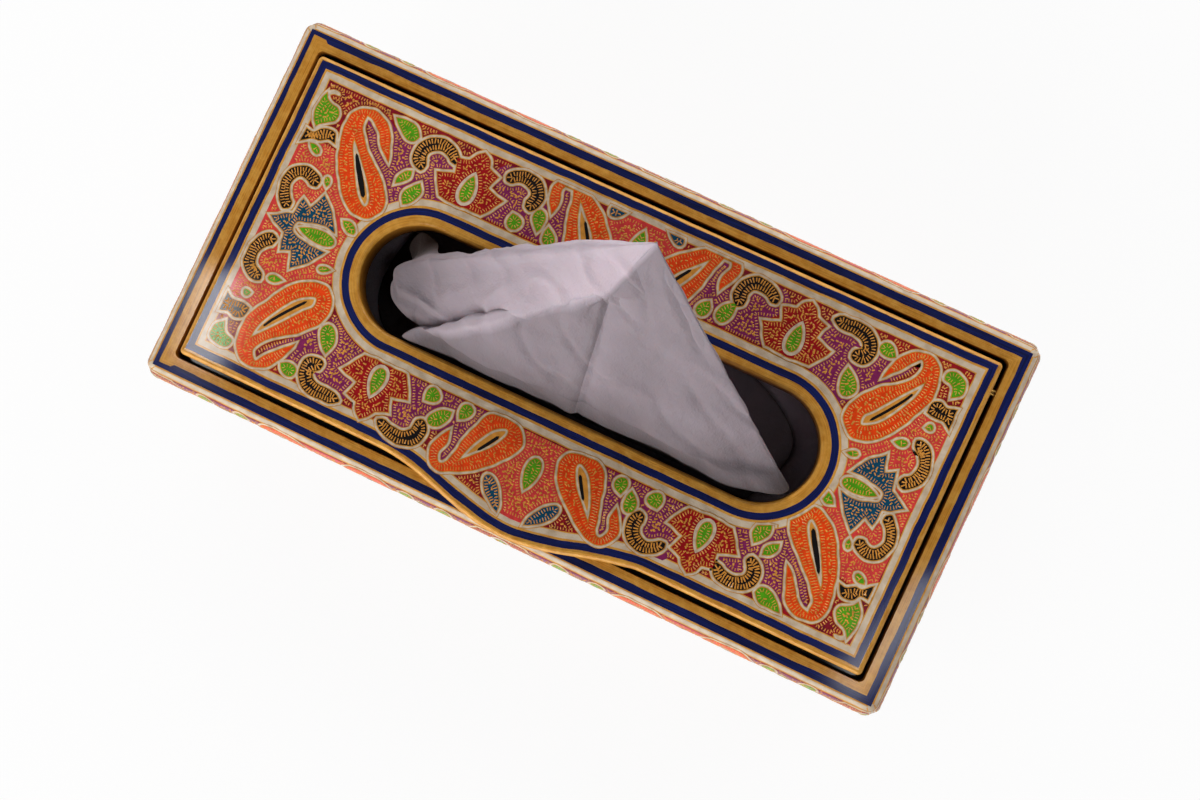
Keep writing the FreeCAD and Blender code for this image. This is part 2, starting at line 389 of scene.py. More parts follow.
def painted_light_on_pulled_sheet(finish, x, y, z):
    """Painted light and shade on the paper, by its place on the sheet. The back layer is painted lighter
    than the front one, and both are painted darker where they go down into the opening."""
    # How far a place lies behind the front layer.
    behind = (x - sheet_foot.x) * -0.056 + (y - sheet_foot.y) * 0.884 - (z - sheet_foot.z) * 0.465
    # Over its upper edge, which turns up to the peak, only the back layer is left.
    edge_z = finish.math("MAXIMUM", (x - sheet_foot.x) * upper_edge_rise + sheet_foot.z,
                         (x - edge_corner.x) * peak_rise + edge_corner.z)
    at_back = finish.math("MAXIMUM", finish.ramp(behind, 2.0, 6.0), finish.ramp(z - edge_z, -0.5, 1.8))
    # Painted highlight just right of the long crease, and painted shade just left of it.
    past_crease = x - 4.7
    right_of_crease = finish.ramp(past_crease, 12.0, 0.4) * (past_crease > 0.2)
    left_of_crease = finish.ramp(past_crease, -5.0, 0.2) * (past_crease < 0.2)
    along_crease = finish.ramp(z, 150.0, 146.0) * finish.ramp(z, 88.0, 98.0)
    crease_highlight_and_shade = (right_of_crease - left_of_crease) * along_crease
    # Painted highlight along the rolled upper edge of the front layer.
    rolled = finish.ramp(z - edge_z, -4.5, 0.5)
    front = 0.41 + crease_highlight_and_shade * 0.09 + rolled * 0.36
    # Painted shade where the front layer goes down into the opening, less of it on the tail further down,
    # and more at the right foot.
    painted_slot_shade = 0.1 + finish.ramp(z, 88.0, 101.0) * 0.5 + finish.ramp(z, 99.0, 113.0) * 0.4
    tail = finish.ramp(z, 82.0, 66.0) * 0.4
    painted_right_foot_shade = 0.4 + finish.ramp(x, 77.0, 68.0) * 0.6
    front = front * (painted_slot_shade + tail) * painted_right_foot_shade
    # The back layer is painted darker towards its left end and where it goes down into the opening.
    back = 0.19 + finish.ramp(x, -68.0, -46.0) * 0.22 + finish.ramp(x, -50.0, 0.0) * 0.47
    back = back * (0.45 + finish.ramp(z, 84.0, 98.0) * 0.55)
    # Painted shade on the corner behind, low at the left.
    painted_shade_behind = finish.ramp(y, 4.5, 8.0) * finish.ramp(z, 97.0, 92.0) * finish.ramp(x, -44.0, -50.0)
    return (front * (1.0 - at_back) + back * at_back) * (1.0 - painted_shade_behind * 0.9)


def tissue_paper(name, pulled=False):
    """Soft two-ply paper with a fine crepe. The pulled sheet also carries painted light and shade."""
    finish = Finish(name, Roughness=0.92, Subsurface_Weight=0.12, Subsurface_Scale=0.002)
    x, y, z = place = finish.place()
    cloud = finish.ramp(finish.patches(place, 0.08, 3.0), 0.3, 0.7)
    paper = finish.mix(cloud, darker(TISSUE, 0.93), TISSUE)
    if pulled:
        # The pulled sheet is painted darker, towards TISSUE_SHADE, by its painted light and shade.
        paper = finish.mix(painted_light_on_pulled_sheet(finish, x, y, z), TISSUE_SHADE, paper)
    finish.feed("Base Color", paper)
    crepe = finish.noise(x * 1.6, y * 1.6, z * 0.5, 3.0, 0.6)
    swell = finish.patches(place, 0.16, 3.0, 0.55)
    finish.bump(crepe * 0.5 + swell * 1.8, 0.4)
    return finish.material


def brass():
    finish = Finish("brass", Metallic=1.0, Roughness=0.3)
    x, y, z = finish.place()
    turned = finish.noise(x * 6.0, y * 0.4, z * 0.4, 2.0)
    finish.feed("Base Color", finish.mix(turned, darker(BRASS, 0.7), BRASS))
    finish.bump(turned, 0.02)
    return finish.material


paints = {
    "cream": paint("cream_paint", CREAM_SHADE, CREAM),
    "gold": paint("gold_paint", GOLD_SHADE, GOLD, 0.2),
    "tick": paint("gold_strokes", darker(LEAF_GOLD, 0.72), LEAF_GOLD, 0.1),
    "crimson": paint("crimson_paint", darker(CRIMSON, 0.7), CRIMSON),
    "purple": paint("purple_paint", darker(PURPLE, 0.7), PURPLE),
    "coral": paint("coral_paint", darker(CORAL, 0.75), CORAL),
    "orange": paint("orange_paint", darker(ORANGE, 0.75), ORANGE),
    "green": paint("green_paint", darker(GREEN, 0.7), GREEN),
    "teal": paint("teal_paint", darker(TEAL, 0.7), TEAL),
    "black": paint("black_paint", darker(BLACK, 0.5), BLACK),
}

# Outlines of painted motifs

STEP = 0.8                 # length of an outline's short runs
RING_STEP = 1.5            # the same where an outline is pressed off the opening's bands
STROKE_STEP = 0.95         # from one gold stroke to the next
STROKE_LENGTH = 1.25
STROKE_WIDTHS = {"black": 0.62, "crimson": 0.44, "teal": 0.46, "orange": 0.42, "green": 0.4, "ground": 0.4}
CURL_STROKE = 1.75         # the black curls' strokes nearly meet in the middle
DAB_STEP = 1.2
DAB_WIDTH = 0.72

# How far the lines of a motif reach beyond its fill, and how high each coat stands
INNER_LINE = 0.34
CREAM_LINE = 1.0
OUTER_LINE = 1.22
TAIL_LINE = 0.3
COATS = {"patch": 0.012, "outer": 0.06, "cream": 0.09, "inner": 0.12, "fill": 0.15,
         "ring": 0.18, "heart": 0.21, "seed": 0.24, "core": 0.27}
LAP = 0.0025               # coats that meet at one height differ by this much
LAPS = 11                  # how many such steps there are before they begin again
OVER_FILL = 10 * LAP       # strokes lie over the highest of them
GROUND_HEIGHT = 0.05       # the strokes on the bare ground lie this high
SUNK = 0.05                # how far a plate's sides reach below the surface
RIDGE_LOW = 0.03           # a stroke's foot lies this far under its height, and its ridge
RIDGE_HIGH = 0.06          # this far over it


def counterclockwise(outline):
    x, y = outline.T
    area = np.sum(x * np.roll(y, -1) - y * np.roll(x, -1))
    return outline if area > 0 else outline[::-1]


def curve_between(before, start, end, after, t):
    """Points of a smooth curve from start to end, at the shares t of the way."""
    return 0.5 * (2 * start + (end - before) * t + (2 * before - 5 * start + 4 * end - after) * t ** 2
                  + (3 * start - before - 3 * end + after) * t ** 3)


def smooth(points, sharp=()):
    """Closed outline through the given points, with a corner at each point that sharp names."""
    points = np.array(points, float)
    count = len(points)
    runs = []
    for i in range(count):
        before, start, end, after = (points[(i + k) % count] for k in (-1, 0, 1, 2))
        if i in sharp:
            before = 2 * start - end
        if (i + 1) % count in sharp:
            after = 2 * end - start
        steps = max(2, math.ceil(np.linalg.norm(end - start) / STEP))
        t = np.arange(steps)[:, None] / steps
        runs.append(curve_between(before, start, end, after, t))
    return counterclockwise(np.vstack(runs))


def leaf(root, tip, width):
    """Leaf with a round root and a pointed tip."""
    root, tip = np.array(root, float), np.array(tip, float)
    along = tip - root
    across = np.array([-along[1], along[0]]) / np.linalg.norm(along)
    steps = max(7, math.ceil(np.linalg.norm(along) / STEP))
    t = (np.arange(steps + 1) / steps) ** 1.4
    belly = t ** 0.5 * (1 - t) ** 0.85 / 0.44 * width / 2
    left = root + along * t[:, None] + across * belly[:, None]
    right = root + along * t[:, None] - across * belly[:, None]
    return counterclockwise(np.vstack([left, right[-2:0:-1]]))


def band(spine, widths):
    """Curled band along a spine of given points, as wide as widths says from end to end."""
    spine = np.array(spine, float)
    t = np.linspace(0, 1, len(spine))
    length = np.sum(np.linalg.norm(np.diff(spine, axis=0), axis=1))
    fine = np.linspace(0, 1, math.ceil(length / STEP) + 1)
    line = np.stack([np.interp(fine, t, spine[:, k]) for k in (0, 1)], 1)
    # The bends at the spine's points are evened out.
    for _ in range(6):
        line[1:-1] = 0.5 * line[1:-1] + 0.25 * (line[:-2] + line[2:])
    along = np.gradient(line, axis=0)
    along /= np.linalg.norm(along, axis=1)[:, None]
    across = np.stack([-along[:, 1], along[:, 0]], 1)
    half = np.interp(fine, np.linspace(0, 1, len(widths)), widths)[:, None] / 2
    # The ends are rounded off.
    end = np.sqrt(np.clip(np.minimum(fine, 1 - fine) * length / (half[:, 0] * 0.8), 0.02, 1))[:, None]
    return counterclockwise(np.vstack([line + across * half * end, (line - across * half * end)[::-1]]))


def distance_to(points, outline):
    """How far each point lies from a closed outline."""
    start = outline[None]
    run = np.roll(outline, -1, 0)[None] - start
    offset = points[:, None] - start
    share = np.clip(np.sum(offset * run, 2) / np.maximum(np.sum(run * run, 2), 1e-9), 0, 1)
    return np.linalg.norm(offset - run * share[..., None], axis=2).min(1)


def inside_of(points, outline):
    """Whether each point lies inside a closed outline."""
    x, y = points[:, 0, None], points[:, 1, None]
    x1, y1 = outline[:, 0][None], outline[:, 1][None]
    x2, y2 = np.roll(outline, -1, 0).T[:, None]
    crosses = ((y1 > y) != (y2 > y)) & (x < (x2 - x1) * (y - y1) / np.where(y2 == y1, 1e-9, y2 - y1) + x1)
    return crosses.sum(1) % 2 == 1


def outward(outline):
    """Square to the outline at each point, outward, and lengthened at corners."""
    run = np.roll(outline, -1, 0) - outline
    run /= np.maximum(np.linalg.norm(run, axis=1), 1e-9)[:, None]
    side = np.stack([run[:, 1], -run[:, 0]], 1)
    both = side + np.roll(side, 1, 0)
    both /= np.maximum(np.linalg.norm(both, axis=1), 1e-9)[:, None]
    return both / np.maximum(np.sum(both * side, 1), 0.5)[:, None]


def grown(outline, distance):
    """The outline moved outward, or inward below 0, and trimmed where it would cross itself."""
    if distance == 0:
        return outline
    moved = outline + outward(outline) * distance
    clear = distance_to(moved, outline) > abs(distance) * 0.95
    return moved[clear] if clear.sum() > 4 else None


def within(outline, limits):
    """The part of an outline inside the upright limits left, right, low and high."""
    left, right, low, high = limits
    for axis, limit, side in ((0, left, 1), (0, right, -1), (1, low, 1), (1, high, -1)):
        kept = []
        for start, end in zip(outline, np.roll(outline, -1, 0)):
            in_a = (start[axis] - limit) * side >= 0
            in_b = (end[axis] - limit) * side >= 0
            if in_a:
                kept.append(start)
            if in_a != in_b:
                kept.append(start + (end - start) * (limit - start[axis]) / (end[axis] - start[axis]))
        if len(kept) < 3:
            return None
        outline = np.array(kept)
    return outline


def room(points, inside, outside, reach=3.0):
    """How far each point lies from every outline, below 0 out of the inside or in one of the others."""
    free = np.full(len(points), reach)
    for outline, sign in [(inside, 1)] + [(other, -1) for other in outside]:
        low, high = outline.min(0) - reach, outline.max(0) + reach
        near = np.all((points > low) & (points < high), axis=1)
        if sign == 1:
            free[~near] = -1
        if not near.any():
            continue
        close = points[near]
        far = distance_to(close, outline)
        wrong = inside_of(close, outline) != (sign == 1)
        free[near] = np.minimum(free[near], np.where(wrong, -far, far))
    return free


def clear_of_ring(outline, ring_width):
    """The outline pressed outward where it would lie on the bands round the opening."""
    closed = np.vstack([outline, outline[:1]])
    runs = []
    for start, end in zip(closed, closed[1:]):
        count = max(1, math.ceil(np.linalg.norm(end - start) / RING_STEP))
        runs.append(start + (end - start) * np.arange(count)[:, None] / count)
    points = np.vstack(runs)
    middle_x = slot_x + np.clip(points[:, 0] - slot_x, -slot_half_straight, slot_half_straight)
    middle = np.stack([middle_x, np.full(len(points), slot_y)], 1)
    off = points - middle
    far = np.maximum(np.linalg.norm(off, axis=1), 1e-6)[:, None]
    return middle + off / far * np.maximum(far, slot_half_width + ring_width)


def spaced(outline, step):
    """Points at an even step along a closed outline, and the direction square to it there."""
    closed = np.vstack([outline, outline[:1]])
    lengths = np.r_[0, np.cumsum(np.linalg.norm(np.diff(closed, axis=0), axis=1))]
    count = max(3, round(lengths[-1] / step))
    at = np.arange(count) * lengths[-1] / count
    points = np.stack([np.interp(at, lengths, closed[:, k]) for k in (0, 1)], 1)
    run = np.roll(points, -1, 0) - np.roll(points, 1, 0)
    run /= np.maximum(np.linalg.norm(run, axis=1), 1e-9)[:, None]
    return points, np.stack([run[:, 1], -run[:, 0]], 1)


class Painting:
    """Paint laid on one face of the object: plates and strokes a few hundredths of a millimetre high."""

    def __init__(self, name, body, slot, to_face, field, seed, cuts=(), ringed=False):
        self.name = name
        self.body = body
        self.slot = slot
        self.to_face = to_face        # from points (u, v, height) to points on the object
        self.field = field            # closed outline that the ground's strokes keep within
        self.cuts = cuts              # (axis, value) where plates are divided, so that they can bend
        self.ringed = ringed          # bands round an opening are kept clear
        self.random = np.random.default_rng(seed)
        self.plates = {}
        self.strokes = []
        self.edges = []
        self.laid = 0

    def plate(self, colour_name, outline, height):
        if outline is not None and len(outline) > 4:
            self.laid += 1
            self.plates.setdefault(colour_name, []).append((outline, height + self.laid % LAPS * LAP))

    def motif(self, outline, fill, holes=(), limits=None):
        """One motif, from its gold edge and its cream outline to its fill and gold strokes."""
        if limits is not None:
            outline = within(outline, limits)
            holes = [hole for hole in (within(hole, limits) for hole in holes) if hole is not None]
        if outline is None or len(outline) < 6:
            return
        if self.ringed:
            outline = clear_of_ring(outline, slot_gold + slot_navy + slot_line + CREAM_LINE)
        edge = grown(outline, OUTER_LINE)
        if edge is None:
            return
        self.edges.append(edge)
        self.plate("gold", edge, COATS["outer"])
        self.plate("cream", grown(outline, CREAM_LINE), COATS["cream"])
        self.plate("gold", grown(outline, INNER_LINE), COATS["inner"])
        self.plate(fill, outline, COATS["fill"])
        length = CURL_STROKE if fill == "black" else STROKE_LENGTH
        self.fill_with_strokes(outline, holes, COATS["fill"] + OVER_FILL, STROKE_WIDTHS[fill],
                               length=length)

    def drop(self, outline, core, limits=None):
        """Cream drop in the middle of a paisley, with its dark core."""
        if limits is not None:
            outline, core = within(outline, limits), within(core, limits)
        if outline is None:
            return
        self.plate("gold", outline, COATS["ring"])
        self.plate("cream", grown(outline, -INNER_LINE), COATS["heart"])
        self.plate("tick", grown(outline, -CREAM_LINE), COATS["seed"])
        self.plate("black", core, COATS["core"])

    def fill_with_strokes(self, inside, outside, height, width, dabs=True, gap=0.22, length=STROKE_LENGTH):
        """A fringe of gold strokes square to every edge, and dabs over what is left."""
        places, turns, lengths = [], [], []
        for outline, sign in [(inside, -1)] + [(other, 1) for other in outside]:
            line = grown(outline, sign * (gap + length / 2))
            if line is None:
                line = grown(outline, sign * (gap + length / 4))
            if line is None:
                continue
            points, square = spaced(line, STROKE_STEP)
            places.append(points + self.random.normal(0, 0.05, points.shape))
            turns.append(square + self.random.normal(0, 0.12, square.shape))
            lengths.append(length * self.random.uniform(0.8, 1.15, len(points)))
        if places:
            points = np.vstack(places)
            free = room(points, inside, outside) > gap + length * 0.22
            self.add_strokes(points[free], np.vstack(turns)[free], np.hstack(lengths)[free], width, height)
        if dabs:
            low, high = inside.min(0), inside.max(0)
            grid = np.mgrid[low[0]:high[0]:DAB_STEP, low[1]:high[1]:DAB_STEP].reshape(2, -1).T
            grid = grid + self.random.normal(0, 0.2, grid.shape)
            grid = grid[room(grid, inside, outside) > gap + length + 0.35]
            turn = self.random.normal(0, 1, grid.shape)
            sizes = self.random.uniform(0.8, 1.3, len(grid))
            self.add_strokes(grid, turn, sizes, DAB_WIDTH, height)

    def add_strokes(self, points, turns, lengths, width, height):
        turns = turns / np.maximum(np.linalg.norm(turns, axis=1), 1e-9)[:, None]
        for point, turn, length in zip(points, turns, lengths):
            self.strokes.append((point, turn, length, width, height))

    def ground_strokes(self, outside=()):
        outside = list(self.edges) + list(outside)
        self.fill_with_strokes(self.field, outside, GROUND_HEIGHT, STROKE_WIDTHS["ground"],
                               gap=0.4, length=0.95)

    def finish(self):
        for colour_name, plates in sorted(self.plates.items()):
            shape = bmesh.new()
            for outline, height in plates:
                self.build_plate(shape, outline, height)
            self.place(shape, colour_name)
        shape = bmesh.new()
        for stroke in self.strokes:
            self.build_stroke(shape, *stroke)
        self.place(shape, "strokes")

    def build_plate(self, shape, outline, height):
        """Flat top with slanted sides that go a little below the surface."""
        low = outline + outward(outline) * SUNK
        top = [shape.verts.new((u, v, height)) for u, v in outline]
        bottom = [shape.verts.new((u, v, -SUNK)) for u, v in low]
        shape.faces.new(top)
        shape.faces.new(bottom[::-1])
        for i in range(len(top)):
            j = (i + 1) % len(top)
            shape.faces.new((top[i], bottom[i], bottom[j], top[j]))

    def build_stroke(self, shape, point, turn, length, width, height):
        """One touch of the brush: a low ridge."""
        across = np.array([-turn[1], turn[0]]) * width / 2
        along = turn * length / 2
        low, high = height - RIDGE_LOW, height + RIDGE_HIGH
        base = [point - along - across * 0.7, point + along - across,
                point + along + across, point - along + across * 0.7]
        base = [shape.verts.new((u, v, low)) for u, v in base]
        ridge = [shape.verts.new((*(point + along * end), high)) for end in (-0.6, 0.6)]
        shape.faces.new((base[3], base[2], base[1], base[0]))
        shape.faces.new((base[0], base[1], ridge[1], ridge[0]))
        shape.faces.new((base[1], base[2], ridge[1]))
        shape.faces.new((base[2], base[3], ridge[0], ridge[1]))
        shape.faces.new((base[3], base[0], ridge[0]))

    def place(self, shape, colour_name):
        if not shape.faces:
            return
        if self.cuts and colour_name != "strokes":
            shape.normal_update()
            bmesh.ops.triangulate(shape, faces=[f for f in shape.faces if len(f.verts) > 4])
            for axis, value in self.cuts:
                square = Vector((0, 0, 0))
                square[axis] = 1
                bmesh.ops.bisect_plane(shape, geom=shape.verts[:] + shape.edges[:] + shape.faces[:],
                                       plane_co=square * value, plane_no=square)
        mesh = bpy.data.meshes.new(f"{self.name}_{colour_name}")
        shape.to_mesh(mesh)
        shape.free()
        laid = np.zeros(len(mesh.vertices) * 3, np.float32)
        mesh.vertices.foreach_get("co", laid)
        placed = self.to_face(laid.reshape(-1, 3).astype(float)) * MM
        mesh.vertices.foreach_set("co", placed.astype(np.float32).ravel())
        mesh.update()
        piece = bpy.data.objects.new(mesh.name, mesh)
        bpy.context.scene.collection.objects.link(piece)
        key = "tick" if colour_name == "strokes" else colour_name
        mesh.materials.append(paints[key])
        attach(piece, self.body)


# Motifs of the front left quarter of the lid, in millimetres from the middle of the box

corner_paisley = smooth([
    (-87.7, -14.7), (-83.2, -19.6), (-84.0, -25.6), (-89.0, -31.8), (-94.6, -35.7), (-99.0, -39.6),
    (-100.8, -43.5), (-98.7, -46.9), (-96.2, -44.2), (-94.2, -41.4), (-88.9, -36.1), (-91.6, -43.3),
    (-94.6, -47.0), (-98.5, -48.7), (-102.9, -48.1), (-106.4, -44.4), (-107.6, -38.0), (-106.0, -31.8),
    (-99.8, -21.2), (-94.0, -15.9)], sharp=(10,))
corner_drop = smooth([(-89.2, -19.1), (-88.3, -22.3), (-91.2, -25.6), (-97.2, -33.3), (-103.6, -40.9),
                      (-102.6, -34.8), (-98.1, -26.4), (-94.2, -21.6)], sharp=(4,))
corner_core = band([(-91.2, -21.6), (-95.6, -27.0), (-99.4, -32.2), (-101.0, -35.2)], (0.9, 1.0, 0.8))
centre_paisley = smooth([
    (-19.6, -29.6), (-14.0, -29.0), (-9.0, -29.8), (-6.4, -33.8), (-8.6, -39.6), (-15.3, -46.7),
    (-24.8, -52.6), (-29.4, -52.9), (-32.7, -49.3), (-32.8, -45.4), (-29.7, -39.9), (-29.0, -43.6),
    (-30.3, -48.0), (-28.5, -51.0), (-26.2, -49.4), (-24.0, -40.6), (-22.2, -34.5)], sharp=(10,))
centre_drop = smooth([(-13.0, -31.5), (-11.8, -33.4), (-14.4, -38.8), (-18.8, -43.6), (-23.3, -48.2),
                      (-21.6, -42.3), (-19.2, -37.3), (-16.6, -33.5)], sharp=(4,))
centre_core = band([(-14.1, -34.9), (-16.2, -38.4), (-18.7, -42.1)], (1.1, 1.1, 0.9))

lotus_x = -58.5
lotus_half = [(0.0, -29.4), (7.6, -29.7), (9.6, -32.6), (12.0, -36.7), (9.0, -37.6), (5.9, -38.5),
              (6.6, -41.0), (7.6, -43.4), (5.2, -44.2), (3.5, -44.8), (2.2, -47.3), (0.0, -49.0)]
lotus_points = ([(lotus_x + x, y) for x, y in lotus_half]
                + [(lotus_x - x, y) for x, y in lotus_half[-2:0:-1]])
lotus = smooth(lotus_points, sharp=(1, 3, 5, 7, 9, 11, 13, 15, 17, 19, 21))
lotus_leaf = leaf((lotus_x, -31.2), (lotus_x, -40.2), 4.2)
lotus_heart = leaf((lotus_x, -29.8), (lotus_x, -42.0), 7.2)

first_curl = band([(-77.6, -40.2), (-79.2, -38.9), (-81.4, -40.0), (-82.0, -42.8), (-80.4, -45.4),
                   (-77.3, -46.9), (-73.0, -47.2), (-67.3, -46.8)], (4.9, 4.9, 4.6, 4.4, 3.8))
second_curl = band([(-52.8, -47.2), (-48.3, -48.6), (-43.9, -49.4), (-40.6, -48.4), (-38.5, -45.8),
                    (-39.2, -42.9), (-41.2, -42.0)], (3.4, 4.2, 4.9, 4.9, 4.5))
second_arch = band([(-48.2, -43.4), (-46.0, -46.2), (-41.8, -47.6), (-37.8, -46.2), (-36.2, -42.8),
                    (-37.0, -39.6), (-38.8, -38.4)], (3.0, 3.7, 4.3, 4.5, 4.4, 3.8))
quarter_leaves = [
    leaf((-81.3, -25.9), (-78.0, -34.2), 5.4),
    leaf((-84.6, -45.4), (-90.2, -43.6), 4.2),
    leaf((-38.4, -30.2), (-41.4, -34.2), 5.0),
    leaf((-37.0, -40.8), (-31.9, -34.4), 5.0),
    leaf((-26.6, -29.9), (-28.6, -34.9), 4.2),
]
upright_leaf = leaf((-33.3, -39.2), (-31.9, -32.6), 4.2)
far_leaf = leaf((-33.4, -30.6), (-36.4, -38.2), 4.6)
centre_leaf = leaf((0.0, -36.2), (0.0, -46.8), 4.9)
teal_leaf = leaf((-12.2, -47.7), (-4.5, -57.4), 4.6)

# Motifs of the left end, from its middle line down
end_line = -0.6
end_lotus_half = [(-114.9, end_line), (-110.7, -3.0), (-108.2, -3.9), (-107.2, -9.9), (-103.6, -8.1),
                  (-101.4, -13.9), (-96.6, -9.6), (-93.0, -4.3), (-97.2, -4.7), (-102.5, -3.7),
                  (-106.2, -2.2)]
end_lotus = smooth(end_lotus_half + [(x, 2 * end_line - y) for x, y in end_lotus_half[:0:-1]],
                   sharp=(0, 2, 3, 4, 5, 7, 14, 16, 17, 18, 19))
end_leaf = leaf((-91.6, end_line), (-104.2, end_line), 4.4)
end_curl = band([(-109.6, -7.4), (-113.0, -8.4), (-115.4, -12.2), (-115.4, -16.8), (-113.2, -20.0),
                 (-110.8, -20.9), (-109.4, -19.8)], (4.2, 4.0, 3.8, 4.0, 4.2))
end_leaves = [
    leaf((-92.3, -10.2), (-88.8, -9.2), 1.7),
    leaf((-106.4, -20.1), (-102.3, -18.8), 2.2),
    leaf((-112.0, -27.9), (-109.8, -26.9), 1.9),
]
corner_knot = smooth([(-117.2, -29.6), (-114.6, -31.3), (-111.6, -31.0), (-108.2, -31.9), (-108.8, -35.4),
                      (-111.2, -36.3), (-114.0, -35.4), (-117.2, -36.4)], sharp=(0, 3, 7))
corner_heart = smooth([(-113.8, -39.4), (-116.2, -41.4), (-116.0, -45.2), (-112.6, -47.0),
                       (-109.2, -46.2), (-109.0, -43.8), (-112.2, -42.6)], sharp=(0,))

# Motifs of the back left quarter
long_paisley = smooth([
    (-104.0, 44.2), (-101.2, 45.2), (-98.4, 45.4), (-95.2, 44.4), (-92.4, 42.2), (-90.4, 39.0),
    (-89.0, 35.4), (-87.9, 32.0), (-90.6, 34.4), (-92.6, 36.8), (-94.5, 39.6), (-96.4, 41.2),
    (-98.6, 42.6), (-101.2, 43.4), (-101.0, 39.4), (-99.2, 36.6), (-96.8, 33.4), (-93.6, 30.6),
    (-90.0, 27.8), (-86.4, 24.6), (-84.0, 21.0), (-82.8, 17.8), (-83.4, 15.0), (-85.2, 12.6),
    (-88.0, 11.6), (-91.2, 12.0), (-94.4, 13.8), (-97.6, 16.6), (-100.0, 19.8), (-102.4, 24.2),
    (-104.4, 28.6), (-105.8, 33.8), (-106.2, 38.6), (-106.0, 41.8)], sharp=(7, 13))
long_drop = smooth([(-101.8, 34.8), (-99.2, 32.2), (-95.2, 27.8), (-92.0, 24.2), (-88.8, 19.8),
                    (-87.7, 16.8), (-88.4, 15.1), (-90.1, 15.6), (-92.9, 18.2), (-96.0, 23.0),
                    (-98.8, 27.8), (-100.9, 31.6)], sharp=(0,))
long_core = band([(-98.7, 30.2), (-96.2, 26.4), (-93.0, 22.0), (-90.2, 17.8)], (0.9, 1.7, 1.9, 1.4))
big_heart = smooth([(-116.6, 44.6), (-115.6, 42.8), (-113.8, 41.8), (-111.4, 41.0), (-109.9, 39.0),
                    (-110.2, 37.0), (-112.0, 35.8), (-114.0, 34.6), (-115.2, 33.2), (-116.6, 35.0),
                    (-117.6, 37.4), (-117.8, 40.2), (-117.4, 42.6)], sharp=(0, 8))
heart_tail = band([(-117.0, 43.6), (-115.8, 45.6), (-114.0, 46.4), (-112.2, 45.6)], (1.3, 1.4, 1.3, 0.9))
long_knot = smooth([(-117.8, 26.6), (-117.6, 31.0), (-114.8, 30.8), (-113.2, 32.6), (-110.8, 33.6),
                    (-108.4, 33.2), (-106.8, 30.4), (-109.2, 30.6), (-110.8, 29.8), (-112.4, 28.8),
                    (-114.8, 28.8)], sharp=(0, 1, 6))
arched_curl = band([(-67.2, 40.8), (-68.6, 43.4), (-72.2, 44.9), (-76.4, 44.2), (-79.2, 41.6),
                    (-79.4, 38.4), (-77.8, 36.0), (-75.6, 36.2)], (3.0, 3.7, 4.2, 4.4, 4.4, 3.6))
arched_end_curl = band([(-106.2, 14.8), (-108.2, 17.2), (-112.0, 17.8), (-115.2, 16.2), (-116.4, 12.4),
                        (-115.8, 8.4), (-113.4, 5.4), (-111.6, 4.4)], (3.5, 3.8, 3.6, 3.2, 3.5, 3.5))
top_leaf = smooth([(-91.6, 46.8), (-88.6, 47.0), (-85.4, 46.8), (-83.2, 45.6), (-82.1, 44.0),
                   (-83.0, 42.0), (-85.0, 41.5), (-87.4, 42.7), (-89.8, 44.6)], sharp=(0, 4))
back_leaves = [
    top_leaf,
    smooth([(-79.4, 32.4), (-79.3, 30.0), (-80.6, 28.2), (-82.4, 27.0), (-82.7, 29.4),
            (-81.4, 31.4)], sharp=(0, 3)),
    smooth([(-75.0, 29.8), (-73.5, 27.2), (-74.0, 24.6), (-75.6, 22.6), (-77.3, 21.6), (-78.4, 23.6),
            (-78.2, 26.2), (-76.8, 28.2)], sharp=(0, 4)),
    smooth([(-92.8, 7.8), (-90.4, 8.4), (-88.6, 7.4), (-87.6, 5.4), (-90.0, 5.2),
            (-91.8, 6.2)], sharp=(0, 3)),
    leaf((-110.4, 25.0), (-114.0, 27.0), 2.2),
    leaf((-104.3, 18.8), (-103.2, 16.2), 1.7),
]

# Patches of the ground that are not crimson, along the outer line round the opening
coral_end = [(-117.6, end_line), (-89.3, end_line), (-88.6, -6.6), (-86.4, -12.9), (-92.0, -15.6),
             (-100.0, -24.0), (-105.5, -32.0), (-107.5, -35.0), (-117.6, -33.0)]
coral_back = [(-118.4, end_line - 0.1), (-118.4, 30.0), (-104.0, 28.0), (-100.0, 20.0), (-92.0, 11.5),
              (-88.5, 9.8), (-90.2, end_line - 0.1)]
purple_left = [(-80.0, -22.0), (-75.0, -25.5), (-70.0, -27.8), (-64.0, -29.2), (-64.0, -44.0),
               (-68.0, -46.5), (-79.0, -46.0), (-84.0, -43.0), (-92.0, -43.6), (-97.5, -47.0),
               (-97.0, -41.5), (-90.0, -33.5), (-84.0, -27.0)]
purple_back = [(-101.0, 43.6), (-94.0, 45.6), (-91.0, 43.4), (-86.0, 43.5), (-81.0, 42.0), (-76.0, 44.0),
               (-70.0, 44.0), (-66.0, 41.5), (-62.0, 38.0), (-62.0, 28.2), (-70.0, 26.6), (-77.0, 23.2),
               (-82.2, 19.0), (-90.0, 27.0), (-97.0, 36.0)]
purple_right = [(-53.0, -29.3), (-20.0, -29.3), (-23.0, -38.0), (-26.5, -50.0), (-29.3, -50.5),
                (-30.3, -46.0), (-29.5, -40.0), (-32.5, -41.5), (-36.0, -43.0), (-38.5, -45.5),
                (-41.0, -49.0), (-50.0, -48.6), (-54.0, -44.0), (-47.0, -37.0)]
coral_centre = [(1.0, -29.3), (-8.5, -29.3), (-5.5, -33.5), (-7.5, -39.0), (-14.0, -46.5), (-8.0, -50.0),
                (-4.2, -57.3), (1.0, -57.6)]

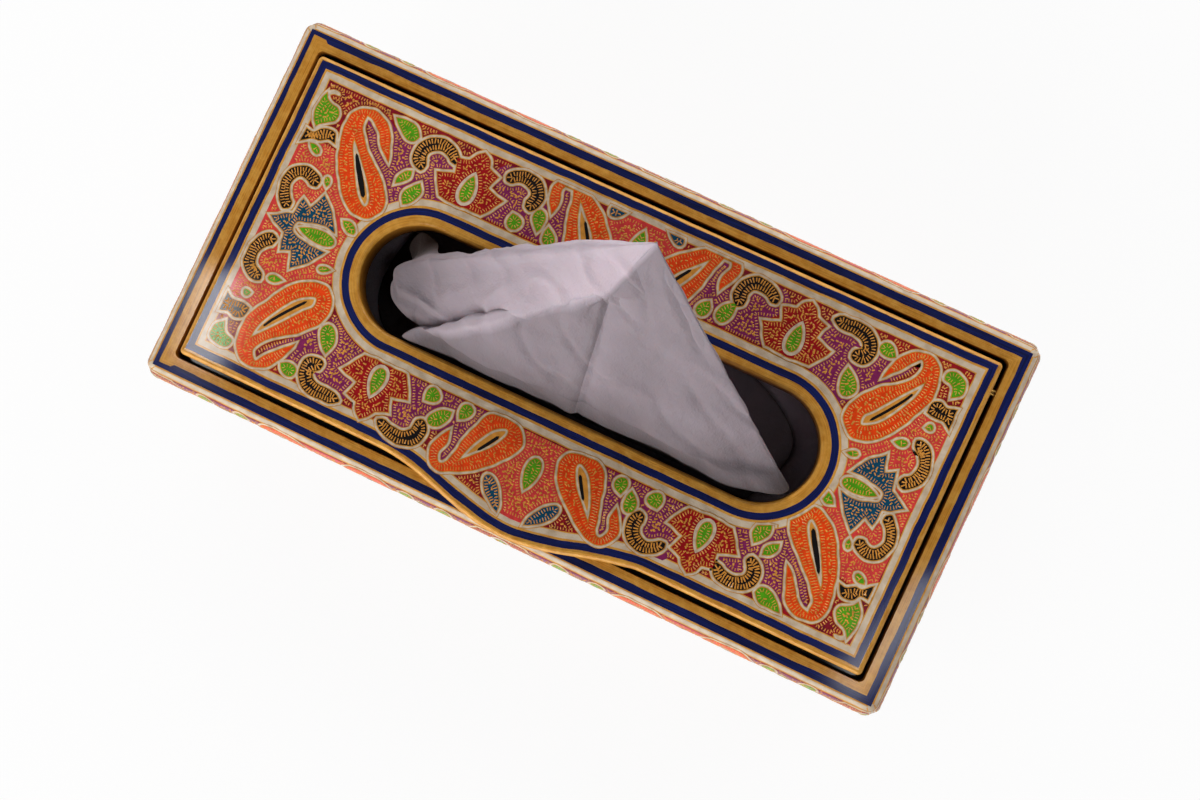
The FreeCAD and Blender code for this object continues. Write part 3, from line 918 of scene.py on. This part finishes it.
# A motif group: patches of ground, a paisley with its drop and core, and outlines by colour
front_corner = {
    "patches": [("coral", coral_end), ("purple", purple_left)],
    "paisley": (corner_paisley, corner_drop, corner_core),
    "black": [first_curl, end_curl, corner_knot],
    "green": quarter_leaves[:2] + end_leaves + [corner_heart],
}
back_corner = {
    "patches": [("coral", coral_back), ("purple", purple_back)],
    "paisley": (long_paisley, long_drop, long_core),
    "black": [arched_curl, arched_end_curl, long_knot],
    "green": [big_heart] + back_leaves,
    "cream": [heart_tail],
}
strip = {
    "patches": [("purple", purple_right), ("coral", coral_centre)],
    "paisley": (centre_paisley, centre_drop, centre_core),
    "black": [second_curl],
    "green": quarter_leaves[2:],
    "teal": [teal_leaf],
}
arched_strip = dict(strip, black=[second_arch], green=[quarter_leaves[2], upright_leaf, quarter_leaves[4]])
far_strip = dict(arched_strip, green=[far_leaf, quarter_leaves[4]])


def turned(outline, flip_x=False, flip_y=False, shift=(0, 0), scale=(1, 1), about=(0, 0)):
    """A motif's copy: mirrored, scaled and moved."""
    points = np.array(outline, float) - about
    points = points * scale * (-1 if flip_x else 1, -1 if flip_y else 1) + shift
    return counterclockwise(points)


def unsteady(outline, random, size=0.16):
    """The outline as a hand draws it."""
    phase = random.uniform(0, 6.28, 4)
    x, y = outline.T
    return np.stack([x + size * np.sin(y * 0.55 + phase[0]) + size * 0.5 * np.sin(y * 1.3 + phase[1]),
                     y + size * np.sin(x * 0.55 + phase[2]) + size * 0.5 * np.sin(x * 1.3 + phase[3])], 1)


def lay(painting, move, motifs, limits=None):
    """Lays a group of motifs where move puts them."""
    for fill, outline in motifs["patches"]:
        shape = move(np.array(outline))
        if painting.ringed:
            shape = clear_of_ring(shape, slot_total)
        painting.plate(fill, shape if limits is None else within(shape, limits), COATS["patch"])
    outline, drop, core = motifs["paisley"]
    painting.motif(unsteady(move(outline), painting.random), "orange", [move(drop)], limits)
    painting.drop(move(drop), move(core), limits)
    for fill in ("black", "green", "teal"):
        for outline in motifs.get(fill, []):
            painting.motif(unsteady(move(outline), painting.random), fill, (), limits)
    for outline in motifs.get("cream", []):
        edge = grown(move(outline), TAIL_LINE)
        painting.edges.append(edge)
        painting.plate("gold", edge, COATS["outer"])
        painting.plate("cream", move(outline), COATS["cream"])


def lay_lotus(painting, move, limits=None):
    heart, green = move(lotus_heart), move(lotus_leaf)
    painting.motif(unsteady(move(lotus), painting.random), "crimson", [heart], limits)
    if limits is not None:
        heart, green = within(heart, limits), within(green, limits)
    if heart is None or green is None:
        return
    painting.plate("cream", heart, COATS["ring"])
    painting.plate("gold", grown(green, INNER_LINE), COATS["heart"])
    painting.plate("green", green, COATS["seed"])
    painting.fill_with_strokes(green, [], COATS["seed"] + OVER_FILL, STROKE_WIDTHS["green"], dabs=False)


def paint_lid():
    lip_x = np.linspace(-lip_half_width, lip_half_width, 41)
    lip_y = -lid_half_width - lip_reach * (0.5 + 0.5 * np.cos(np.pi * lip_x / lip_half_width))
    inset = band_total + 0.2
    front = inset + gold_edge_front
    left = -lid_half_length + gold_edge_left + inset
    right = lid_half_length - gold_edge_right - inset
    back = lid_half_width - gold_edge_back - inset
    field = np.vstack([[(left, back), (left, -lid_half_width + front)],
                       np.stack([lip_x, lip_y + front], 1),
                       [(right, -lid_half_width + front), (right, back)]])
    field = counterclockwise(field)
    angles = np.linspace(-math.pi / 2, math.pi / 2, 21)
    ring = slot_half_width + slot_total
    slot_edge = np.vstack([
        np.stack([slot_x + slot_half_straight + ring * np.cos(angles), slot_y + ring * np.sin(angles)], 1),
        np.stack([slot_x - slot_half_straight - ring * np.cos(angles), slot_y - ring * np.sin(angles)], 1)])

    def on_lid(points):
        return points + (0, 0, lid_top)

    # The painted band across the right end is narrower than the left one: places along X.
    as_drawn = (0, 60, 88.8, 116.8, 130)
    as_painted = (0, 60, 89.2, 114.8, 128.4)

    def placed(shape, second, shift):
        """A corner or end motif in its place."""
        shape = turned(shape, second, second, shift)
        if second:
            shape[:, 0] = np.interp(shape[:, 0], as_drawn, as_painted)
        return shape

    painting = Painting("lid_pattern", "lid", "painted_lid", on_lid, field, 7, ringed=True)
    limits = (left - 0.6, right + 0.6, -80, back + 0.6)
    # The corners are laid twice, the second time after half a turn; the strips are mirrored.
    raised = 2 * end_line
    for second in (False, True):
        out, up = (0.8, raised) if second else (0.0, 0.0)
        lay(painting, lambda shape: placed(shape, second, (out, up)), front_corner, limits)
        # The back corner lies 1 mm further in than it was drawn.
        across, down = (out - 1.1, up + 0.35) if second else (1.1, -0.35)
        lay(painting, lambda shape: placed(shape, second, (across, down)), back_corner, limits)
        painting.motif(unsteady(placed(end_lotus, second, (out, up)), painting.random), "teal")
        painting.motif(placed(end_leaf, second, (out, up)), "green")
    for flip_x in (False, True):
        for flip_y in (False, True):
            def move(shape):
                return turned(shape, flip_x, flip_y, (1.0 if flip_x else 0.0, raised if flip_y else 0.0))
            motifs = (strip, arched_strip, far_strip)[flip_x + flip_y]
            lay(painting, move, motifs, limits)
            lay_lotus(painting, move, limits)
    for flip_y in (False, True):
        painting.motif(turned(centre_leaf, False, flip_y, (0.5, raised if flip_y else 0.0)), "green")
    painting.ground_strokes([slot_edge])
    painting.finish()


# The walls: from the rim's edge round the shoulder and straight down to the table

def shoulder_line():
    """Points down the wall: length along it, distance out from the rim's edge, and drop below the rim."""
    angle = np.linspace(0, math.pi / 2, 200)
    out, drop = shoulder_out * np.sin(angle), shoulder_drop * (1 - np.cos(angle))
    along = np.r_[0, np.cumsum(np.hypot(np.diff(out), np.diff(drop)))]
    foot = along[-1] + box_height - shoulder_drop
    return np.r_[along, foot], np.r_[out, shoulder_out], np.r_[drop, box_height]


wall_along, wall_out, wall_drop = shoulder_line()
wall_field_top = float(np.interp(2.3, wall_out[:200], wall_along[:200]))
wall_field_low = wall_along[-1] - foot_bands[4]
shoulder_cuts = (2.6, 3.2, 3.9, 4.7, 5.6, 6.6, 7.8, 9.2, 10.8, 12.6)
row_count = 3
bay_top = -28.6            # the lid's motifs between these heights make one bay of a wall
bay_low = -53.6
corner_wrap = 2.4          # how far the paint runs round an upright corner


def paint_wall(name, facing, half_length, half_depth, bays, seed):
    """One wall: rows of bays, mirrored in turn, staggered from row to row."""
    ahead = Vector(facing)
    along = Vector((0, 0, 1)).cross(ahead)
    flat_half = half_length - rim_corner

    def on_wall(points):
        down = -points[:, 1]
        out = np.interp(down, wall_along, wall_out)
        drop = np.interp(down, wall_along, wall_drop)
        # How far the wall there leans back, as the sine of its angle to the upright.
        share = np.clip(out / shoulder_out, 0, 1)
        lean = np.hypot(shoulder_out * np.sqrt(1 - share ** 2), shoulder_drop * share)
        level = np.where(drop < shoulder_drop, shoulder_out * np.sqrt(1 - share ** 2) / lean, 0)
        upright = np.sqrt(1 - level ** 2)
        raise_by = points[:, 2]
        # Past the flat part the paint turns with the corner.
        past = np.clip(np.abs(points[:, 0]) - flat_half, 0, None)
        angle = past / (rim_corner + shoulder_out)
        radius = rim_corner + out + raise_by * upright
        flat = np.minimum(np.abs(points[:, 0]), flat_half)
        side = np.sign(points[:, 0]) * (flat + radius * np.sin(angle))
        depth = half_depth - rim_corner + radius * np.cos(angle)
        # At the rim's edge the wall lies level and faces up.
        height = box_height - drop + raise_by * level
        return np.outer(side, along) + np.outer(depth, ahead) + np.outer(height, (0, 0, 1))

    field_half = flat_half + corner_wrap
    limits = (-field_half, field_half, -wall_field_low, -wall_field_top)
    left, right, low, high = limits
    field = np.array([(left, low), (right, low), (right, high), (left, high)], float)
    cuts = [(1, -cut) for cut in shoulder_cuts]
    cuts += [(0, side * (flat_half + wrap)) for side in (-1, 1) for wrap in (0.0, 0.8, 1.6)]
    painting = Painting(name, "box", "painted_box", on_wall, field, seed, cuts)
    bay_width = 2 * field_half / bays
    row_height = (high - low) / row_count
    scale = (bay_width / -lotus_x, row_height / (bay_top - bay_low))
    for row in range(row_count):
        upside_down = row % 2 == 1
        row_high = high - row * row_height
        row_limits = (left, right, row_high - row_height, row_high)
        lift = row_high - (row_height if upside_down else 0)
        for bay in range(bays + 1):
            # Even seams hold a lotus and odd ones a pair of paisleys. In the middle row it is the other
            # way round.
            seam = left + bay * bay_width

            def in_bay(shape, middle=0.0, flip_x=False):
                return turned(shape, flip_x, upside_down, (seam, lift), scale, (middle, bay_top))

            if (bay + row) % 2 == 0:
                lay_lotus(painting, lambda shape: in_bay(shape, lotus_x), row_limits)
                continue
            if bay != 0:
                lay(painting, in_bay, strip, row_limits)
            if bay != bays:
                lay(painting, lambda shape: in_bay(shape, 0.0, True), arched_strip, row_limits)
            painting.motif(in_bay(centre_leaf), "green", (), row_limits)
    painting.ground_strokes()
    painting.finish()


paint_lid()
paint_wall("front_pattern", (0, -1, 0), rim_half_length, rim_half_width, 4, 21)
paint_wall("back_pattern", (0, 1, 0), rim_half_length, rim_half_width, 4, 22)
paint_wall("left_pattern", (-1, 0, 0), rim_half_width, rim_half_length, 2, 23)
paint_wall("right_pattern", (1, 0, 0), rim_half_width, rim_half_length, 2, 24)

turned_brass = brass()
for name, material in (("lid", painted_lid()), ("box_body", painted_box()),
                       ("hinge_pin_left", turned_brass), ("hinge_pin_right", turned_brass)):
    nodes[name].data.materials.clear()
    nodes[name].data.materials.append(material)


# Pulled tissue

def spline_between(rows, count):
    """Smooth surface lines: count points along axis 0 through the given rows."""
    rows = np.array(rows, float)
    n = len(rows)
    at = np.linspace(0, n - 1, count)
    start = np.clip(at.astype(int), 0, n - 2)
    t = (at - start).reshape((-1,) + (1,) * (rows.ndim - 1))
    before = rows[np.clip(start - 1, 0, n - 1)]
    after = rows[np.clip(start + 2, 0, n - 1)]
    return curve_between(before, rows[start], rows[start + 1], after, t)


# The front layer's long crease, from the opening up to the corner in its upper edge
crease_heights = (60.0, 75.0, 90.0, 105.0, 125.0, 148.0)
crease_x = (2.0, 2.6, 4.4, 5.3, 4.9, 3.6)
crease_y = (-20.0, -17.8, -13.0, -8.4, 3.4, 18.2)
upper_edge_corner = 0.73   # share of the way up where the front layer's upper edge turns to the peak


def sheet_rows():
    """Guide lines of the sheet from the stack up to the peak. Each runs from the corner behind, round
    the lobe on the left, along the back layer, round the fold on the right and along the front layer
    to its rolled upper edge, with a short hem behind that."""
    base = stack_high.z
    peak = np.array([12.9, 31.0, sheet_high.z - 0.4])
    rows = [
        [(-30, 40, base + 0.9), (-52, 36, base + 0.9), (-74, 22, base + 0.9), (-80, -4, base + 1.0),
         (-70, -20, base + 1.0), (-46, -24, base + 1.6), (-22, 20, base + 1.0), (6, 26, base + 1.0),
         (44, 24, base + 1.0), (76, 4, base + 1.2), (58, -34, base + 0.9), (36, -40, base + 0.9),
         (2, -42, base + 0.9), (-22, -41, base + 0.9), (-44, -36, base + 0.9), (-62, -28, base + 1.0),
         (-52, -20, base + 2.4), (-34, -18, base + 2.6)],
        [(-40, 14, base + 5), (-48, 12, base + 5), (-62, 6, base + 5), (-66, -4, base + 5),
         (-60, -13, base + 5), (-46, -13, base + 5), (-22, 2, base + 5), (8, 5, base + 5),
         (44, 1, base + 5), (72, -6, base + 5), (56, -18, base + 5), (36, -19.5, base + 5),
         (2.4, -19.8, base + 5), (-18, -19.6, base + 5), (-37, -19.2, base + 5), (-53, -17.5, base + 5),
         (-46, -15, base + 5), (-34, -15, base + 5)],
        [(-63, 7.5, 71), (-59, 6, 72), (-62, 5, 72), (-65, -5, 72),
         (-59, -11.5, 72), (-48, -12.0, 72), (-24, -4, 72), (9, -1, 72),
         (46, -3, 72), (73.5, -8, 72), (58, -17.4, 72), (37, -17.8, 72),
         (2.5, -18.2, 72), (-18, -18.2, 72), (-37, -18.0, 72), (-55, -17.0, 72),
         (-47, -14.6, 72), (-36, -14.8, 72)],
        [(-70.5, 9.0, 79), (-66, 4.5, 80), (-64, 3, 81), (-66.6, -6, 81),
         (-59.6, -11.9, 81), (-49.5, -12.2, 81), (-26, -6, 81), (10, -2, 81),
         (47, -3.5, 81), (75.5, -9, 81), (61, -17.4, 81), (38, -16.6, 81),
         (3.3, -17.0, 81), (-18, -17.2, 81), (-38, -17.4, 81), (-56.5, -17.8, 81),
         (-48, -15.0, 81), (-38, -14.8, 81)],
        [(-68.6, 15.6, 83), (-65.5, 7.0, 86), (-66.4, 2, 91), (-66.6, -7.6, 91.5),
         (-59.4, -11.2, 92), (-52.0, -9.6, 93), (-28, -3.5, 92), (11, 1, 92),
         (49, -1.2, 92), (78, -10.0, 91), (62.5, -16.8, 91), (38.5, -13.6, 91),
         (4.4, -14.2, 91), (-18, -14.8, 91), (-39, -16.6, 91), (-57, -18.6, 91),
         (-49.5, -15.6, 90.5), (-40, -13.0, 90)],
        [(-61.5, 14.6, 86), (-64.0, 6.0, 92), (-67.4, 0.4, 97.2), (-63.8, -5.2, 96.8),
         (-57.5, -5.4, 98.2), (-49.0, -3.4, 99.5), (-28, 1.5, 99), (11, 5, 99),
         (48, 2.0, 98.5), (73.2, -7.4, 97), (59.5, -13.4, 97.5), (37.5, -10.4, 98),
         (4.9, -11.2, 98), (-17, -12.0, 98), (-36, -13.4, 97.5), (-52.4, -13.6, 96.6),
         (-44, -9.5, 95), (-36, -7.5, 94)],
    ]
    for share in (0.1, 0.2, 0.34, 0.48, 0.62, 0.76, 0.88, 0.96):
        rim = np.array([-67.0, 2.2, 98.5]) * (1 - share) + peak * share
        rim[2] += 2.2 * math.sin(math.pi * share)
        fold = np.array([77.6, -9.9, 91.0]) * (1 - share) + peak * share
        if share < upper_edge_corner:
            way = share / upper_edge_corner
            rolled = np.array(sheet_foot) + np.array(edge_corner - sheet_foot) * way
            rolled[2] += 2.5 * math.sin(math.pi * way)
        else:
            corner = np.array(edge_corner)
            rolled = corner + (peak - corner) * (share - upper_edge_corner) / (1 - upper_edge_corner)
        low = 1 - share
        behind = np.array([0.0, 5.0, -11.0]) * low ** 0.6
        back = [rim + behind * 1.2 + (2 * low, 0, 0), rim + behind * 0.5, rim]
        for along, near, drop in ((0.05, -1.6, -0.6), (0.11, -2.6, -1.6), (0.2, -2.6, -2.6),
                                  (0.42, 0.8, -2.6), (0.64, 1.8, -2.0), (0.86, 1.2, -0.8)):
            back.append(rim * (1 - along) + fold * along + np.array([0.0, near, drop]) * low)
        level = (fold[2] + rolled[2]) / 2
        crease = np.array([np.interp(level, crease_heights, crease_x),
                           np.interp(level, crease_heights, crease_y), level])
        if share > upper_edge_corner:
            crease = fold * 0.45 + rolled * 0.55
        belly = np.array([0, -2.4, 1.2]) * low
        front = [fold * 0.74 + crease * 0.26 + belly * 0.8, fold * 0.42 + crease * 0.58 + belly,
                 crease, crease * 0.62 + rolled * 0.38 + belly * 0.5,
                 crease * 0.28 + rolled * 0.72 + belly * 0.4, rolled]
        hem = [rolled + np.array([1.2, 1.6, -0.4]) * low ** 0.5,
               rolled * 0.9 + crease * 0.1 + np.array([2.0, 3.0, -5.0]) * low ** 0.5]
        rows.append(back + [fold] + front + hem)
    rows.append([peak + (0.02 * i - 0.1, 0.03 * i, 0) for i in range(len(rows[0]))])
    return np.array([[tuple(point) for point in row] for row in rows], float)


def crumple(spot):
    """How far the paper stands out at a place, in millimetres: a few broad dents and many small ones."""
    broad = noise.noise(Vector(spot * 0.05) + Vector((3.1, 0, 0)))
    small = noise.noise(Vector((spot[0] * 0.15, spot[1] * 0.15, spot[2] * 0.1)) + Vector((0, 7.7, 0)))
    # Sharp little creases where two dents meet.
    sharp = 1 - abs(noise.noise(Vector((spot[0] * 0.07 + spot[2] * 0.05, spot[1] * 0.09, 5.5)))) * 4
    return 1.4 * broad + 0.55 * small + 0.75 * max(sharp, 0)


def share_of_way(value, low, high):
    """0 at low and 1 at high, straight in between. Low may be the higher of the two."""
    return np.clip((value - low) / (high - low), 0, 1)


def fade(distance, reach):
    """1 up to 0 and less and less past it."""
    return np.exp(-np.clip(distance, 0, 100) / reach)


# The sheet's columns are counted in guide lines: the back layer runs from 2 to 9, the fold on the right
# is 9, and the front layer runs from 9 to 15.

def close_layers(surface, column):
    """Brings the sheet to where it leans on itself and on the opening."""
    x, z = surface[..., 0:1], surface[..., 2:3]
    # The front layer's upper edge leans on the back layer, which bulges towards it there.
    from_edge = z - sheet_foot.z - (x - sheet_foot.x) * upper_edge_rise
    bulge = np.interp(x, (-56.0, -46.0, -28.0, 4.0, 16.0), (0.0, -7.0, -8.5, -3.0, 0.0))
    close = share_of_way(from_edge, 17.5, 0) * share_of_way(from_edge, -24, 0)
    close = close * close * (3 - 2 * close)
    surface[..., 1:2] += bulge * close * share_of_way(column, 2.0, 2.4) * share_of_way(column, 9.2, 8.2)
    # The front layer's foot leans out to the front edge of the opening.
    lean_out = np.interp(z, (70, 82, 91, 100, 112, 124), (0.0, -1.2, -3.4, -3.0, -1.2, 0.0))
    lean_out = lean_out * np.interp(x, (-57, -39, -18, 44, 66), (0.0, 0.45, 1.0, 1.0, 0.0))
    surface[..., 1:2] += lean_out * share_of_way(column, 9.3, 9.9) * share_of_way(column, 15.6, 15.0)


def square_to(surface):
    """Direction square to the sheet at each point."""
    square = np.cross(np.gradient(surface, axis=1), np.gradient(surface, axis=0))
    return square / np.maximum(np.linalg.norm(square, axis=2), 1e-9)[..., None]


def crease_lift(surface, column):
    """How far the front layer stands out along its creases, in millimetres."""
    x, z = surface[..., 0:1], surface[..., 2:3]
    # The right part laps over the left part along the long crease, with a rolled edge.
    past = x - np.interp(z, crease_heights, crease_x)
    step = 1 / (1 + np.exp(-past / 0.35))
    lift = step * (0.5 + 0.9 * fade(past, 2.2)) * fade(past, 18) - 0.8 * (1 - step) * fade(-past, 8)
    lift = lift * share_of_way(z, 151, 143) * share_of_way(z, 74, 82)
    # A second, short crease lies on the right part.
    off = x - (20.5 + 6.0 * share_of_way(z, 122, 140))
    short = fade(off, 4) / (1 + np.exp(-off / 0.5)) * share_of_way(np.abs(z - 132), 11, 0)
    return (lift + short) * 1.1 * share_of_way(column, 9.3, 9.9) * share_of_way(column, 14.8, 14.4)


def lobe_lift(surface, column):
    """The same on the lobe at the left, where the paper is folded along a bent line."""
    x, y, z = (surface[..., axis:axis + 1] for axis in range(3))
    beside = y - np.interp(x, (-67.0, -63.5, -57.0, -46.0), (0.6, -4.6, -4.2, -6.4))
    ridge = 1.3 * np.exp(-np.abs(beside) / 1.1) - 0.9 * np.exp(-((beside + 3.2) / 1.6) ** 2)
    return ridge * share_of_way(column, 2.2, 2.6) * share_of_way(column, 6.2, 5.7) * share_of_way(z, 88, 92)


def make_pulled_tissue():
    guide = sheet_rows()
    along = spline_between(guide, 160)
    surface = spline_between(along.transpose(1, 0, 2), 230).transpose(1, 0, 2)
    rows, columns, _ = surface.shape
    column = np.linspace(0, guide.shape[1] - 1, columns)[None, :, None]
    close_layers(surface, column)
    square = square_to(surface)
    z = surface[..., 2:3]
    crumpled = share_of_way(z, 80, 104) * share_of_way(z, sheet_high.z, sheet_high.z - 16)
    surface = surface + square * crease_lift(surface, column)
    surface = surface + square * lobe_lift(surface, column)
    dents = np.array([[crumple(spot) for spot in row] for row in surface])[..., None]
    surface = surface + square * dents * crumpled
    mesh = bpy.data.meshes.new("pulled_sheet")
    faces = [(i * columns + j, i * columns + j + 1, (i + 1) * columns + j + 1, (i + 1) * columns + j)
             for i in range(rows - 1) for j in range(columns - 1)]
    mesh.from_pydata((surface.reshape(-1, 3) * MM).tolist(), [], faces)
    mesh.update()
    piece = bpy.data.objects.new("pulled_sheet", mesh)
    bpy.context.scene.collection.objects.link(piece)
    thick = piece.modifiers.new("plies", "SOLIDIFY")
    thick.thickness = paper_thickness * MM
    thick.offset = 0.0
    for face in mesh.polygons:
        face.use_smooth = True
    mesh.materials.append(tissue_paper("tissue", True))
    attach(piece, "lid")
    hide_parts("pulled_tissue")


make_pulled_tissue()


# Stack of folded tissues

def make_stack():
    """The pack in the box: folded sheets whose edges don't quite line up, and the next sheet on top."""
    random = np.random.default_rng(11)
    sheets = 44
    length = stack_high.x - stack_low.x
    width = stack_high.y - stack_low.y
    top_play = 1.0             # the top sheet's waves need this much height
    height = stack_high.z - stack_low.z - top_play
    corner = 3.0
    ring = []
    for sx, sy, start in ((1, 1, 0), (-1, 1, 90), (-1, -1, 180), (1, -1, 270)):
        for step in range(4):
            angle = math.radians(start + step * 30)
            ring.append((sx * (length / 2 - corner) + corner * math.cos(angle),
                         sy * (width / 2 - corner) + corner * math.sin(angle)))
    ring = np.array(ring)
    middle = np.array([(stack_low.x + stack_high.x) / 2, (stack_low.y + stack_high.y) / 2])
    rows = []
    for i in range(sheets):
        inset = 1 - random.uniform(0.001, 0.008)
        sway = random.normal(0, 0.12, 2)
        low = stack_low.z + height * i / sheets
        high = stack_low.z + height * (i + 1) / sheets
        for z, share in ((low + 0.05, inset - 0.004), (low + (high - low) * 0.5, inset),
                         (high - 0.05, inset - 0.004)):
            rows.append(np.column_stack([ring * share + middle + sway, np.full(len(ring), z)]))
    shape = bmesh.new()
    loops = [[shape.verts.new(point * MM) for point in row] for row in rows]
    for lower, upper in zip(loops, loops[1:]):
        for i in range(len(lower)):
            j = (i + 1) % len(lower)
            shape.faces.new((lower[i], lower[j], upper[j], upper[i]))
    shape.faces.new(loops[0][::-1])
    shape.faces.new(loops[-1])
    # The next sheet: two halves that meet near the middle, the front one over the back one, in soft
    # waves, each made of long by deep small faces.
    long, deep = 70, 20
    for front, edge_y in ((False, 3.0), (True, -2.0)):
        near, far = (-width / 2 + 0.8, edge_y + 4.0) if front else (edge_y, width / 2 - 0.8)
        grid = []
        for i in range(long + 1):
            column = []
            for j in range(deep + 1):
                x = (i / long - 0.5) * (length - 1.6)
                y = near + (far - near) * j / deep
                # The free edge isn't quite straight.
                y += 0.7 * math.sin(x * 0.05 + 1.0) * (j / deep if front else 1 - j / deep)
                wave = noise.noise(Vector((x * 0.035, y * 0.05, 2.0 if front else 9.0)))
                rim = min(1, (length / 2 - 0.8 - abs(x)) / 8, (width / 2 - 0.8 - abs(y)) / 8)
                level = stack_low.z + height + 0.12 + (0.28 + 0.5 * wave) * max(rim, 0)
                level += 0.3 if front else 0.0
                column.append(shape.verts.new(Vector((x + middle[0], y + middle[1], level)) * MM))
            grid.append(column)
        for i in range(long):
            for j in range(deep):
                face = shape.faces.new((grid[i][j], grid[i + 1][j], grid[i + 1][j + 1], grid[i][j + 1]))
                face.smooth = True
    mesh = bpy.data.meshes.new("stack_of_tissues")
    shape.to_mesh(mesh)
    shape.free()
    piece = bpy.data.objects.new("stack_of_tissues", mesh)
    bpy.context.scene.collection.objects.link(piece)
    mesh.materials.append(tissue_paper("stacked_tissue"))
    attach(piece, "box")
    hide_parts("tissue_stack")


make_stack()


# Floor, light and camera

floor_size = 20.0          # metres, as the lamps below
shown_white = 0.92         # the rest of the floor is its own shading, left for the object's shadow


def make_floor():
    bpy.ops.mesh.primitive_plane_add(size=floor_size, location=(0, 0, 0))
    floor = bpy.context.object
    floor.name = "floor"
    finish = Finish("pale_floor", Roughness=0.9)
    finish.shader.inputs["Base Color"].default_value = (0.86, 0.86, 0.86, 1)
    seen, reflected, through = (finish.node("LightPath", result=ray) for ray in (
        "Is Camera Ray", "Is Glossy Ray", "Is Transmission Ray"))
    shown = finish.math("MAXIMUM", finish.math("MAXIMUM", seen, reflected), through)
    own = Amount(finish, finish.shader.outputs[0])
    white = finish.node("Emission", None, {"Color": (1, 1, 1, 1), "Strength": 1.0})
    mixed = finish.node("MixShader", None, {0: shown * shown_white, 1: own, 2: white})
    finish.link(mixed, finish.tree.nodes["Material Output"].inputs[0])
    floor.data.materials.append(finish.material)


def soft_light(name, place, size, power):
    lamp = bpy.data.lights.new(name, "AREA")
    lamp.shape = "RECTANGLE"
    lamp.size, lamp.size_y = size
    lamp.energy = power
    holder = bpy.data.objects.new(name, lamp)
    bpy.context.scene.collection.objects.link(holder)
    holder.location = place
    aim = Vector((0, 0, 0.08)) - Vector(place)
    holder.rotation_euler = aim.to_track_quat("-Z", "Y").to_euler()


def make_world():
    world = bpy.data.worlds.new("studio")
    bpy.context.scene.world = world
    world.use_nodes = True
    sky = Shading(world.node_tree)
    rise = sky.node("SeparateXYZ", None, {0: sky.node("TexCoord", result="Generated")}, "Z")
    # Light comes in from all round at the height of the box, and little from straight above.
    strength = sky.node("MapRange", {"interpolation_type": "SMOOTHSTEP"}, {
        "Value": rise, "From Min": 0.05, "From Max": 0.7, "To Min": 0.9, "To Max": 0.015})
    seen = sky.node("LightPath", result="Is Camera Ray")
    background = world.node_tree.nodes["Background"]
    background.inputs["Color"].default_value = (1, 1, 1, 1)
    sky.link(sky.node("Mix", {"data_type": "FLOAT"}, {0: seen, 2: strength, 3: 1.0}),
             background.inputs["Strength"])


make_floor()
make_world()
soft_light("light_left", (-0.466, -0.085, 1.0), (0.1, 0.05), 0.34)
soft_light("light_right", (0.318, -0.085, 1.05), (0.15, 0.035), 0.17)
soft_light("light_back", (-0.1, 1.2, 0.7), (2.6, 1.1), 22.0)
soft_light("light_front", (-0.4, -1.2, 0.6), (2.0, 1.0), 24.0)

# The photo looks down on the box, a little tipped and turned by 25 degrees.
lens = 39.0
camera_place = Vector((42.19, -19.88, 513.19)) * MM
picture_right = Vector((0.90375, 0.42415, -0.05774))
picture_back = Vector((0.07444, -0.0229, 0.99696))
picture_up = picture_back.cross(picture_right)
camera_data = bpy.data.cameras.new("camera")
camera_data.lens = lens
camera_data.sensor_width = 36.0
camera_data.clip_start = 0.01
camera = bpy.data.objects.new("camera", camera_data)
bpy.context.scene.collection.objects.link(camera)
camera.matrix_world = Matrix((
    (picture_right.x, picture_up.x, picture_back.x, camera_place.x),
    (picture_right.y, picture_up.y, picture_back.y, camera_place.y),
    (picture_right.z, picture_up.z, picture_back.z, camera_place.z),
    (0, 0, 0, 1)))
bpy.context.scene.camera = camera
bpy.context.scene.view_settings.view_transform = "Standard"

bpy.context.view_layer.update()
